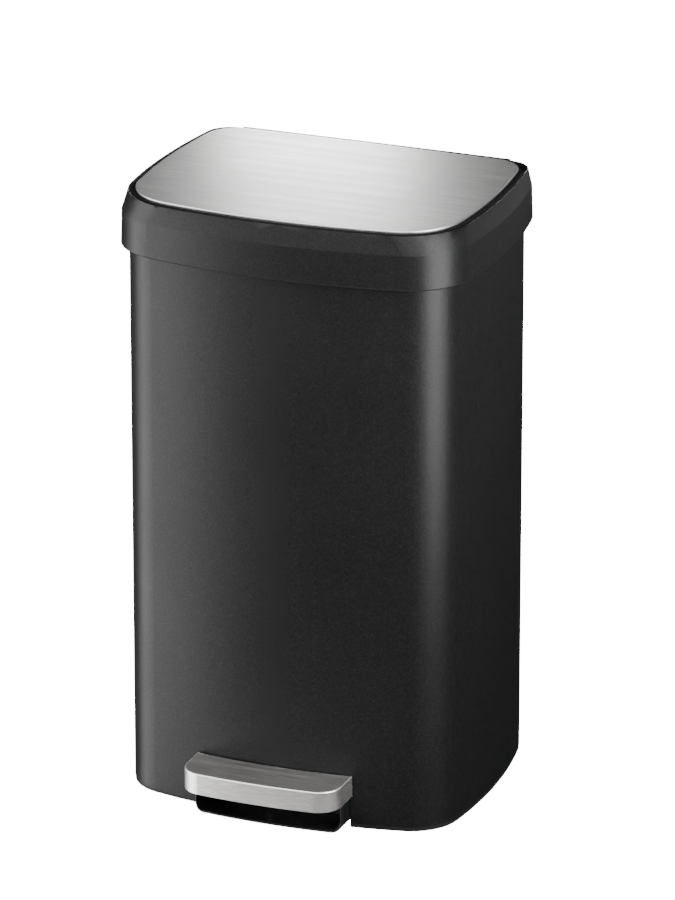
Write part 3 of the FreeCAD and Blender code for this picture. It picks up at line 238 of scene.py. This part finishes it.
def maths(tree, operation, first, second=None):
    """A maths node fed by sockets or plain numbers."""
    node = tree.nodes.new("ShaderNodeMath")
    node.operation = operation
    for index, value in enumerate((first, second)):
        if value is None:
            continue
        if isinstance(value, (int, float)):
            node.inputs[index].default_value = value
        else:
            tree.links.new(value, node.inputs[index])
    return node.outputs[0]


def ranged(tree, value, low, high, new_low, new_high):
    """A value moved from one range to another and kept inside it."""
    node = tree.nodes.new("ShaderNodeMapRange")
    tree.links.new(value, node.inputs["Value"])
    for title, number in (
        ("From Min", low), ("From Max", high), ("To Min", new_low), ("To Max", new_high),
    ):
        node.inputs[title].default_value = number
    return node.outputs[0]


def noise(tree, place, scale, detail, roughness=0.5):
    """A noise texture at a place, with a plain or a linked scale."""
    node = tree.nodes.new("ShaderNodeTexNoise")
    tree.links.new(place, node.inputs["Vector"])
    if isinstance(scale, (int, float)):
        node.inputs["Scale"].default_value = scale
    else:
        tree.links.new(scale, node.inputs["Scale"])
    node.inputs["Detail"].default_value = detail
    node.inputs["Roughness"].default_value = roughness
    return node.outputs["Fac"]


def grain_group():
    """Fine grain of a coat or moulding: a height and a fleck mask."""
    group, start, end = new_group(
        "surface_grain",
        [("Place", "NodeSocketVector", None), ("Width", "NodeSocketFloat", 0.001)],
        [("Height", "NodeSocketFloat"), ("Fleck", "NodeSocketFloat")],
    )
    density = maths(group, "DIVIDE", 1.0, start.outputs["Width"])
    fine = noise(group, start.outputs["Place"], density, 2.0)
    coarse_density = maths(group, "MULTIPLY", density, 0.31)
    coarse = noise(group, start.outputs["Place"], coarse_density, 1.0)
    fine_part = maths(group, "MULTIPLY", fine, 0.7)
    coarse_part = maths(group, "MULTIPLY", coarse, 0.3)
    group.links.new(maths(group, "ADD", fine_part, coarse_part), end.inputs["Height"])
    group.links.new(ranged(group, fine, 0.42, 0.76, 0.0, 1.0), end.inputs["Fleck"])
    return group


def handling_group():
    """Broad uneven patches, as handling and wiping leave: one slow mask."""
    group, start, end = new_group(
        "handling_marks",
        [("Place", "NodeSocketVector", None), ("Width", "NodeSocketFloat", 0.1)],
        [("Mask", "NodeSocketFloat")],
    )
    density = maths(group, "DIVIDE", 1.0, start.outputs["Width"])
    broad = noise(group, start.outputs["Place"], density, 3.0, 0.55)
    group.links.new(ranged(group, broad, 0.35, 0.68, 0.0, 1.0), end.inputs["Mask"])
    return group


def brush_group():
    """Brush strokes that run across the can: a fine line mask and a soft band mask."""
    group, start, end = new_group(
        "brush_strokes",
        [
            ("Place", "NodeSocketVector", None),
            ("Length", "NodeSocketFloat", 0.03),
            ("Width", "NodeSocketFloat", 0.001),
        ],
        [("Lines", "NodeSocketFloat"), ("Bands", "NodeSocketFloat")],
    )
    along = maths(group, "DIVIDE", 1.0, start.outputs["Length"])
    across = maths(group, "DIVIDE", 1.0, start.outputs["Width"])

    def stretched(share):
        """The place drawn out along the strokes, at a share of their density."""
        squeeze = group.nodes.new("ShaderNodeCombineXYZ")
        for axis, density in (("X", along), ("Y", across), ("Z", across)):
            group.links.new(maths(group, "MULTIPLY", density, share), squeeze.inputs[axis])
        scaled = group.nodes.new("ShaderNodeVectorMath")
        scaled.operation = "MULTIPLY"
        group.links.new(start.outputs["Place"], scaled.inputs[0])
        group.links.new(squeeze.outputs[0], scaled.inputs[1])
        return scaled.outputs[0]

    fine = noise(group, stretched(1.0), 1.0, 3.0, 0.65)
    broad = noise(group, stretched(0.13), 1.0, 2.0, 0.5)
    group.links.new(ranged(group, fine, 0.3, 0.7, 0.0, 1.0), end.inputs["Lines"])
    group.links.new(ranged(group, broad, 0.3, 0.7, 0.0, 1.0), end.inputs["Bands"])
    return group


GROUP_MAKERS = {
    "surface_grain": grain_group,
    "handling_marks": handling_group,
    "brush_strokes": brush_group,
}


class Finish:
    """One material being wired: its tree, its shader and its place input."""

    def __init__(self, name):
        self.material = bpy.data.materials.new(name)
        self.material.use_nodes = True
        self.tree = self.material.node_tree
        self.shader = self.tree.nodes["Principled BSDF"]
        coordinates = self.tree.nodes.new("ShaderNodeTexCoord")
        self.place = coordinates.outputs["Object"]

    def set(self, **values):
        """Constant values straight on the shader."""
        for title, value in values.items():
            self.shader.inputs[title.replace("_", " ")].default_value = value

    def group(self, name, **values):
        """A shared group placed with its own values."""
        if name not in bpy.data.node_groups:
            GROUP_MAKERS[name]()
        node = self.tree.nodes.new("ShaderNodeGroup")
        node.node_tree = bpy.data.node_groups[name]
        self.tree.links.new(self.place, node.inputs["Place"])
        for title, value in values.items():
            node.inputs[title].default_value = value
        return node

    def blend(self, mask, first, second):
        """A colour between two colours."""
        node = self.tree.nodes.new("ShaderNodeMix")
        node.data_type = "RGBA"
        self.tree.links.new(mask, node.inputs["Factor"])
        for index, colour in ((MIX_FIRST, first), (MIX_SECOND, second)):
            if isinstance(colour, bpy.types.NodeSocket):
                self.tree.links.new(colour, node.inputs[index])
            else:
                node.inputs[index].default_value = (*colour, 1.0)
        return node.outputs[MIX_RESULT]

    def feed(self, title, socket):
        """Link a varying value to the shader."""
        self.tree.links.new(socket, self.shader.inputs[title])

    def times(self, value, share):
        """A value taken by a share."""
        return maths(self.tree, "MULTIPLY", value, share)

    def plus(self, first, second):
        """Two values added."""
        return maths(self.tree, "ADD", first, second)

    def bump(self, height, distance, strength=1.0):
        """Fine relief on the surface."""
        node = self.tree.nodes.new("ShaderNodeBump")
        node.inputs["Distance"].default_value = distance
        node.inputs["Strength"].default_value = strength
        self.tree.links.new(height, node.inputs["Height"])
        self.feed("Normal", node.outputs["Normal"])

    def edge_mask(self):
        """The mark left on rounded edges, 0 on flat faces and 1 on the rounding."""
        node = self.tree.nodes.new("ShaderNodeAttribute")
        node.attribute_name = EDGE_MARK
        return node.outputs["Fac"]


def lighter(colour, share):
    """A colour moved part of the way to white."""
    return tuple(c + (1 - c) * share for c in colour)


def scaled(colour, share):
    """A colour with every part taken by a share."""
    return tuple(c * share for c in colour)


def powder_coat():
    """Charcoal powder coat with fine flecks, rubbed a little lighter on its edges."""
    paint = bpy.context.scene.can_paint
    worn_share, worn_lightness = 0.35, 0.02
    patch_roughness = 0.05
    finish = Finish("powder_coat")
    finish.set(Specular_IOR_Level=0.22)
    grain = finish.group("surface_grain", Width=paint.grain)
    marks = finish.group("handling_marks", Width=0.16)
    flecked = finish.blend(grain.outputs["Fleck"], paint.colour, paint.fleck_colour)
    worn = finish.times(finish.edge_mask(), worn_share)
    finish.feed("Base Color", finish.blend(worn, flecked, lighter(paint.colour, worn_lightness)))
    patches = finish.times(marks.outputs["Mask"], patch_roughness)
    finish.feed("Roughness", finish.plus(patches, paint.roughness))
    finish.bump(grain.outputs["Height"], 0.00012, 0.8)
    return finish.material


def brushed_steel(name, warmth, roughness, fineness=1.0):
    """Bare steel with brush strokes that run across the can; its rolled and rounded edges are
    painted near white as a painted highlight line.
    """
    steel = bpy.context.scene.can_steel
    dark_share, light_share = 0.76, 1.18
    highlight_share = 0.8
    line_roughness, band_roughness, patch_roughness = 0.10, 0.05, 0.03
    finish = Finish(name)
    finish.set(Metallic=1.0)
    strokes = finish.group(
        "brush_strokes", Length=steel.stroke_length * fineness, Width=steel.stroke_width * fineness
    )
    marks = finish.group("handling_marks", Width=0.12)
    tinted = tuple(c * w for c, w in zip(steel.colour, warmth))
    dark = scaled(tinted, dark_share)
    light = tuple(min(1, c) for c in scaled(tinted, light_share))
    brushed = finish.blend(strokes.outputs["Lines"], dark, light)
    # Rolled and rounded edges painted near white: a painted highlight line along the steel's
    # edges.
    painted_highlight = finish.times(finish.edge_mask(), highlight_share)
    finish.feed("Base Color", finish.blend(painted_highlight, brushed, EDGE_HIGHLIGHT_WHITE))
    centred = maths(finish.tree, "SUBTRACT", strokes.outputs["Lines"], 0.5)
    change = finish.times(centred, line_roughness)
    change = finish.plus(change, finish.times(strokes.outputs["Bands"], band_roughness))
    change = finish.plus(change, finish.times(marks.outputs["Mask"], patch_roughness))
    finish.feed("Roughness", finish.plus(change, roughness))
    finish.bump(strokes.outputs["Lines"], 0.00003, 0.35)
    return finish.material


def plated_steel():
    """Dull zinc-plated sheet, rod and fasteners."""
    dull, bright = (0.42, 0.42, 0.41), (0.58, 0.58, 0.56)
    roughness, patch_roughness = 0.26, 0.14
    finish = Finish("plated_steel")
    finish.set(Metallic=1.0)
    grain = finish.group("surface_grain", Width=0.0015)
    marks = finish.group("handling_marks", Width=0.02)
    finish.feed("Base Color", finish.blend(marks.outputs["Mask"], dull, bright))
    patches = finish.times(marks.outputs["Mask"], patch_roughness)
    finish.feed("Roughness", finish.plus(patches, roughness))
    finish.bump(grain.outputs["Height"], 0.00003, 0.5)
    return finish.material


def moulded(name, colour, roughness, grain_width, relief, spread=0.06, gloss=0.5):
    """Moulded plastic or rubber with a fine spark grain and slightly paler edges."""
    patch_share, edge_share = 1.3, 2
    edge_cover = 0.5
    finish = Finish(name)
    finish.set(Specular_IOR_Level=gloss)
    grain = finish.group("surface_grain", Width=grain_width)
    marks = finish.group("handling_marks", Width=0.07)
    uneven = finish.blend(marks.outputs["Mask"], tuple(colour), scaled(colour, patch_share))
    edged = finish.times(finish.edge_mask(), edge_cover)
    finish.feed("Base Color", finish.blend(edged, uneven, scaled(colour, edge_share)))
    patches = finish.times(marks.outputs["Mask"], spread)
    finish.feed("Roughness", finish.plus(patches, roughness))
    finish.bump(grain.outputs["Height"], relief, 0.5)
    return finish.material


def gloss_black():
    """Polished black moulding of the guard."""
    return moulded(
        "gloss_black", bpy.context.scene.can_plastic.gloss_colour, roughness=0.20,
        grain_width=0.004, relief=0.00001, spread=0.05, gloss=0.6,
    )


def rim_black():
    """Satin black moulding of the lid's rim and the hinge cover."""
    return moulded(
        "rim_black", bpy.context.scene.can_plastic.gloss_colour, roughness=0.20,
        grain_width=0.002, relief=0.00001, spread=0.05, gloss=0.03,
    )


def matte_black():
    """Textured black moulding."""
    return moulded(
        "matte_black", bpy.context.scene.can_plastic.matte_colour, roughness=0.50,
        grain_width=0.0008, relief=0.00006, gloss=0.2,
    )


def bucket_grey():
    """Dark grey moulding of the bucket."""
    return moulded(
        "bucket_grey", bpy.context.scene.can_plastic.bucket_colour, roughness=0.44,
        grain_width=0.0010, relief=0.00005, spread=0.12,
    )


def nylon():
    """Pale grey nylon."""
    return moulded(
        "nylon", bpy.context.scene.can_plastic.nylon_colour, roughness=0.40,
        grain_width=0.0009, relief=0.00004,
    )


def rubber():
    """Soft black rubber."""
    return moulded(
        "rubber", bpy.context.scene.can_plastic.rubber_colour, roughness=0.70,
        grain_width=0.0007, relief=0.00006, spread=0.1, gloss=0.3,
    )


def lid_steel():
    """Brushed steel of the lid plate."""
    return brushed_steel("lid_steel", (1.0, 1.0, 0.995), bpy.context.scene.can_steel.roughness)


def pedal_steel():
    """Brushed steel of the pedal: a little warmer, softer and finer than the lid."""
    softer = bpy.context.scene.can_steel.roughness + 0.05
    return brushed_steel("pedal_steel", (0.93, 0.91, 0.90), softer, fineness=0.6)


FINISH_MAKERS = {
    "body_paint": powder_coat,
    "lid_steel": lid_steel,
    "pedal_steel": pedal_steel,
    "plain_steel": plated_steel,
    "black_gloss": gloss_black,
    "rim_black": rim_black,
    "black_matte": matte_black,
    "bucket_plastic": bucket_grey,
    "grey_plastic": nylon,
    "bumper_rubber": rubber,
}
made_finishes = {}


def finish_named(name):
    """The material of that name, made on first use."""
    if name not in made_finishes:
        made_finishes[name] = FINISH_MAKERS[name]()
    return made_finishes[name]


def slot_of(node):
    """The record's material slot of a packed part."""
    return next(p["material_slot"] for p in frame["record"]["subparts"] if p["node"] == node)


# ---------------------------------------------------------------- shapes


def merged_copy(node, angle=CURVED_ANGLE):
    """A packed part's surface with its loose triangles joined and flat areas made one face."""
    shape = bmesh.new()
    shape.from_mesh(frame["nodes"][node].data)
    bmesh.ops.remove_doubles(shape, verts=shape.verts, dist=MERGE_DISTANCE)
    bmesh.ops.dissolve_limit(
        shape, angle_limit=angle, verts=shape.verts, edges=shape.edges,
        use_dissolve_boundaries=False, delimit=set(),
    )
    return shape


def round_edges(shape, radius, segments=3, wanted=None):
    """Round the sharp edges of a shape, mark the rounding and pull stray points back."""
    mark = shape.faces.layers.float.new(EDGE_MARK)
    sharp = [
        edge for edge in shape.edges
        if edge.is_manifold and edge.calc_face_angle(0) > SHARP_ANGLE
        and (wanted is None or wanted(edge))
    ]
    surface = BVHTree.FromBMesh(shape)
    result = bmesh.ops.bevel(
        shape, geom=sharp, offset=radius, offset_type="OFFSET", segments=segments, profile=0.5,
        affect="EDGES", clamp_overlap=False, material=-1,
    )
    for face in result["faces"]:
        face[mark] = 1.0
    for vert in result["verts"]:
        place, _, _, away = surface.find_nearest(vert.co)
        if away > radius * STRAY_SHARE:
            vert.co = place


def mark_slopes(shape):
    """Mark the rolled edges of a flat-topped sheet, which lie between upright and level; on steel
    the mark is painted near white as a painted highlight.
    """
    mark = shape.faces.layers.float.get(EDGE_MARK) or shape.faces.layers.float.new(EDGE_MARK)
    for face in shape.faces:
        if ROLLED_LEAST < face.normal.z < ROLLED_MOST:
            face[mark] = 1.0


def piece_from(shape, name, node, finish):
    """Turn a shape into a piece that stands for a packed part and rides where it rode."""
    mesh = bpy.data.meshes.new(name)
    shape.to_mesh(mesh)
    shape.free()
    mesh.shade_smooth()
    mesh.set_sharp_from_angle(angle=SMOOTH_ANGLE)
    piece = bpy.data.objects.new(name, mesh)
    bpy.context.scene.collection.objects.link(piece)
    piece.data.materials.append(finish_named(finish))
    weighted = piece.modifiers.new("even_shading", "WEIGHTED_NORMAL")
    weighted.keep_sharp = True
    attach(piece, frame["nodes"][node]["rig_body"])
    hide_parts(node)
    return piece


def rounded_part(node, radius, finish=None, segments=3):
    """A packed part finished with rounded edges."""
    shape = merged_copy(node)
    round_edges(shape, radius, segments)
    return piece_from(shape, node + "_finished", node, finish or slot_of(node))


def carried_part(node, finish=None):
    """A packed part kept as it is, with its finish."""
    target = frame["nodes"][node]
    target.data.materials.clear()
    target.data.materials.append(finish_named(finish or slot_of(node)))


# ---------------------------------------------------------------- operators


class CanOperator:
    """What every operator here shares."""

    bl_options = {"REGISTER", "UNDO"}


class CAN_OT_body(CanOperator, bpy.types.Operator):
    """Finish the painted shell and the collar"""

    bl_idname = "can.body"
    bl_label = "Body and collar"

    def execute(self, context):
        edges = context.scene.can_edges
        rounded_part("body_shell", edges.sheet)
        shape = merged_copy("collar")
        low = min(vert.co.z for vert in shape.verts) + MERGE_DISTANCE

        def outer_foot(edge):
            """True along the outside of the collar's lower edge."""
            normals = [face.normal for face in edge.link_faces]
            outward = sum(normals, Vector())
            outward.z = 0
            return (
                max(abs(normal.z) for normal in normals) > LEVEL
                and all(vert.co.z < low for vert in edge.verts)
                and outward.dot(edge.verts[0].co) > 0
            )

        round_edges(shape, edges.collar_foot, 4, outer_foot)
        piece_from(shape, "collar_finished", "collar", slot_of("collar"))
        return {"FINISHED"}


class CAN_OT_lid(CanOperator, bpy.types.Operator):
    """Finish the lid plate with its rolled edge and groove, the black rim and the liner"""

    bl_idname = "can.lid"
    bl_label = "Lid"

    def execute(self, context):
        edges = context.scene.can_edges
        shape = merged_copy("lid_plate", FLAT_ANGLE)
        top = max(shape.faces, key=lambda face: face.calc_center_median().z + face.calc_area())
        for thickness, depth in (
            (edges.groove_inset, 0.0),
            (edges.groove_width / 2, -edges.groove_depth),
            (edges.groove_width / 2, edges.groove_depth),
        ):
            bmesh.ops.inset_region(shape, faces=[top], thickness=thickness, depth=depth)
        mark_slopes(shape)
        piece_from(shape, "lid_plate_finished", "lid_plate", "lid_steel")
        rounded_part("lid_frame", edges.rim, "rim_black", 5)
        rounded_part("lid_liner", edges.moulded / 2)
        carried_part("lid_bumpers")
        return {"FINISHED"}


class CAN_OT_pedal(CanOperator, bpy.types.Operator):
    """Finish the pedal, its core and lever, and the guard round the toe gap"""

    bl_idname = "can.pedal"
    bl_label = "Pedal and guard"

    def execute(self, context):
        edges = context.scene.can_edges
        shape = merged_copy("pedal_plate")
        round_edges(shape, edges.sheet)
        mark_slopes(shape)
        piece_from(shape, "pedal_plate_finished", "pedal_plate", "pedal_steel")
        rounded_part("pedal_guard", edges.guard, segments=4)
        rounded_part("pedal_lever", edges.sheet)
        rounded_part("pedal_core", edges.moulded)
        return {"FINISHED"}


class CAN_OT_bucket(CanOperator, bpy.types.Operator):
    """Finish the lift-out bucket and the ring it hangs in"""

    bl_idname = "can.bucket"
    bl_label = "Bucket and seat ring"

    def execute(self, context):
        edges = context.scene.can_edges
        rounded_part("inner_bucket", edges.moulded)
        rounded_part("seat_ring", edges.moulded)
        return {"FINISHED"}


class CAN_OT_base(CanOperator, bpy.types.Operator):
    """Finish the false floor, the floor ring and the axle's saddles"""

    bl_idname = "can.base"
    bl_label = "Base"

    def execute(self, context):
        edges = context.scene.can_edges
        for node in ("base_tray", "floor_ring", "axle_saddle_left", "axle_saddle_right"):
            rounded_part(node, edges.moulded)
        return {"FINISHED"}


class CAN_OT_hinge(CanOperator, bpy.types.Operator):
    """Finish the cover, brackets and pins of the lid's hinge"""

    bl_idname = "can.hinge"
    bl_label = "Hinge"

    def execute(self, context):
        edges = context.scene.can_edges
        rounded_part("hinge_cover", edges.moulded, "rim_black")
        for side in ("left", "right"):
            rounded_part("hinge_bracket_" + side, edges.sheet)
            carried_part("hinge_pin_" + side)
        return {"FINISHED"}


class CAN_OT_linkage(CanOperator, bpy.types.Operator):
    """Finish the crank, rod, yoke, guides, axle and bushes that work the lid"""

    bl_idname = "can.linkage"
    bl_label = "Linkage"

    def execute(self, context):
        edges = context.scene.can_edges
        for node in ("lid_crank", "push_rod"):
            rounded_part(node, edges.sheet)
        for node in ("rod_yoke", "rod_guide_lower", "rod_guide_upper"):
            rounded_part(node, edges.moulded)
        for node in ("crank_pin", "link_pin", "pedal_axle", "lever_bush_left", "lever_bush_right"):
            carried_part(node)
        return {"FINISHED"}


class CAN_OT_fasteners(CanOperator, bpy.types.Operator):
    """Finish the screws, rivets and clips"""

    bl_idname = "can.fasteners"
    bl_label = "Fasteners"

    def execute(self, context):
        for node in (
            "hinge_screws", "lid_screws", "crank_rivets", "yoke_rivets", "guide_screws",
            "base_screws", "axle_clips", "pedal_screws", "guard_screws",
        ):
            carried_part(node)
        return {"FINISHED"}


MIDDLE = (0, 0, 0.33)


def around(azimuth, elevation, distance):
    """A point round the can's middle: azimuth 0 is in front, positive to the right."""
    turn, lift = math.radians(azimuth), math.radians(elevation)
    return Vector(
        (
            distance * math.sin(turn) * math.cos(lift),
            -distance * math.cos(turn) * math.cos(lift),
            MIDDLE[2] + distance * math.sin(lift),
        )
    )


# name, place, target, size across and up in metres, power in watts
LIGHTS = (
    ("left_panel", around(-63, -5, 2.4), MIDDLE, (2.1, 2.5), 124),
    ("right_strip", (0.82, -0.36, 0.62), (0.15, -0.12, 0.55), (0.6, 1.0), 24),
    ("top_panel", around(0, 88, 3.0), MIDDLE, (3.0, 3.0), 36),
    ("rear_panel", (-0.38, 0.93, 0.84), (-0.03, 0.02, 0.65), (0.2, 0.3), 2.5),
    ("front_high", around(-15, 50, 2.6), MIDDLE, (2.4, 1.8), 60),
    ("facet_light", around(24, 15, 2.2), (0, 0, 0.64), (1.3, 0.3), 12),
    ("front_low", around(-24, 12, 2.8), (0, 0, 0.6), (2.4, 0.6), 10.5),
    ("back_fill", around(150, 8, 3.0), MIDDLE, (2.4, 2.0), 8),
    ("rear_low", (-1.15, 2.2, -0.1), (-0.1, 0.15, 0.3), (1.0, 1.3), 17),
    ("floor_bounce", (-0.4, -1.1, 0), (-0.4, -1.1, 1), (2.4, 2.0), 1.0),
    ("pedal_bounce", (-0.12, -0.35, 0.001), (-0.12, -0.35, 1), (0.5, 0.36), 0.26),
)


def add_light(name, place, target, size, power):
    """A soft box at a place, facing a target."""
    light = bpy.data.lights.new(name, "AREA")
    light.shape = "RECTANGLE"
    light.size, light.size_y = size
    light.energy = power
    lamp = bpy.data.objects.new(name, light)
    lamp.location = place
    lamp.rotation_euler = (Vector(target) - Vector(place)).to_track_quat("-Z", "Y").to_euler()
    lamp.visible_camera = False
    bpy.context.scene.collection.objects.link(lamp)


def lay_floor(settings):
    """A wide pale floor just under the can, seen only by the camera."""
    half_width, gap_below = 40, 0.0002
    shape = bmesh.new()
    bmesh.ops.create_grid(shape, x_segments=1, y_segments=1, size=half_width)
    bmesh.ops.translate(shape, verts=shape.verts, vec=(0, 0, -gap_below))
    mesh = bpy.data.meshes.new("floor")
    shape.to_mesh(mesh)
    shape.free()
    floor = bpy.data.objects.new("floor", mesh)
    bpy.context.scene.collection.objects.link(floor)
    plain = bpy.data.materials.new("floor_paint")
    plain.use_nodes = True
    coat = plain.node_tree.nodes["Principled BSDF"]
    coat.inputs["Base Color"].default_value = (*settings.floor_colour, 1)
    coat.inputs["Roughness"].default_value = 0.9
    coat.inputs["Emission Color"].default_value = WHITE
    coat.inputs["Emission Strength"].default_value = settings.floor_glow
    mesh.materials.append(plain)
    floor.visible_glossy = False
    floor.visible_diffuse = False
    floor.visible_shadow = False


def hang_backdrop(settings):
    """A white surrounding for the camera, nearly dark for everything else."""
    unseen_strength = 0.03
    world = bpy.data.worlds.new("studio")
    world.use_nodes = True
    tree = world.node_tree
    back = tree.nodes["Background"]
    path = tree.nodes.new("ShaderNodeLightPath")
    back.inputs["Color"].default_value = WHITE
    strength = maths(tree, "MULTIPLY", path.outputs["Is Camera Ray"], settings.air)
    tree.links.new(maths(tree, "ADD", strength, unseen_strength), back.inputs["Strength"])
    bpy.context.scene.world = world


def place_camera():
    """A long lens from the front right, looking a little down."""
    distance, height = 6.813, 2.882
    azimuth, heading, pitch = 0.3824, 0.3803, 0.3545
    lens = bpy.data.cameras.new("camera")
    lens.lens = 278.44
    lens.sensor_width = 36
    lens.clip_start, lens.clip_end = 0.1, 200
    camera = bpy.data.objects.new("camera", lens)
    camera.location = (distance * math.sin(azimuth), -distance * math.cos(azimuth), height)
    camera.rotation_euler = (math.pi / 2 - pitch, 0, heading)
    bpy.context.scene.collection.objects.link(camera)
    bpy.context.scene.camera = camera


class CAN_OT_stage(CanOperator, bpy.types.Operator):
    """Lay the pale floor, set the studio lights and place the camera"""

    bl_idname = "can.stage"
    bl_label = "Studio"

    def execute(self, context):
        lay_floor(context.scene.can_stage)
        hang_backdrop(context.scene.can_stage)
        for light in LIGHTS:
            add_light(*light)
        place_camera()
        return {"FINISHED"}


OPERATORS = (
    CAN_OT_body, CAN_OT_lid, CAN_OT_pedal, CAN_OT_bucket, CAN_OT_base, CAN_OT_hinge,
    CAN_OT_linkage, CAN_OT_fasteners, CAN_OT_stage,
)


class CAN_PT_panel(bpy.types.Panel):
    """Sidebar panel with the pieces and their settings"""

    bl_idname = "CAN_PT_panel"
    bl_label = "Pedal can"
    bl_space_type = "VIEW_3D"
    bl_region_type = "UI"
    bl_category = "Pedal can"

    def draw(self, context):
        for title, kind in GROUPS.items():
            box = self.layout.box()
            box.label(text=kind.__doc__)
            settings = getattr(context.scene, title)
            for key in kind.__annotations__:
                box.prop(settings, key)
        for operator in OPERATORS:
            self.layout.operator(operator.bl_idname)


CLASSES = (*GROUPS.values(), *OPERATORS, CAN_PT_panel)


def register():
    for item in CLASSES:
        bpy.utils.register_class(item)
    for title, kind in GROUPS.items():
        setattr(bpy.types.Scene, title, bpy.props.PointerProperty(type=kind))


def unregister():
    for title in GROUPS:
        delattr(bpy.types.Scene, title)
    for item in reversed(CLASSES):
        bpy.utils.unregister_class(item)


def main():
    register()
    for operator in OPERATORS:
        family, action = operator.bl_idname.split(".")
        getattr(getattr(bpy.ops, family), action)()


if __name__ == "__main__":
    main()
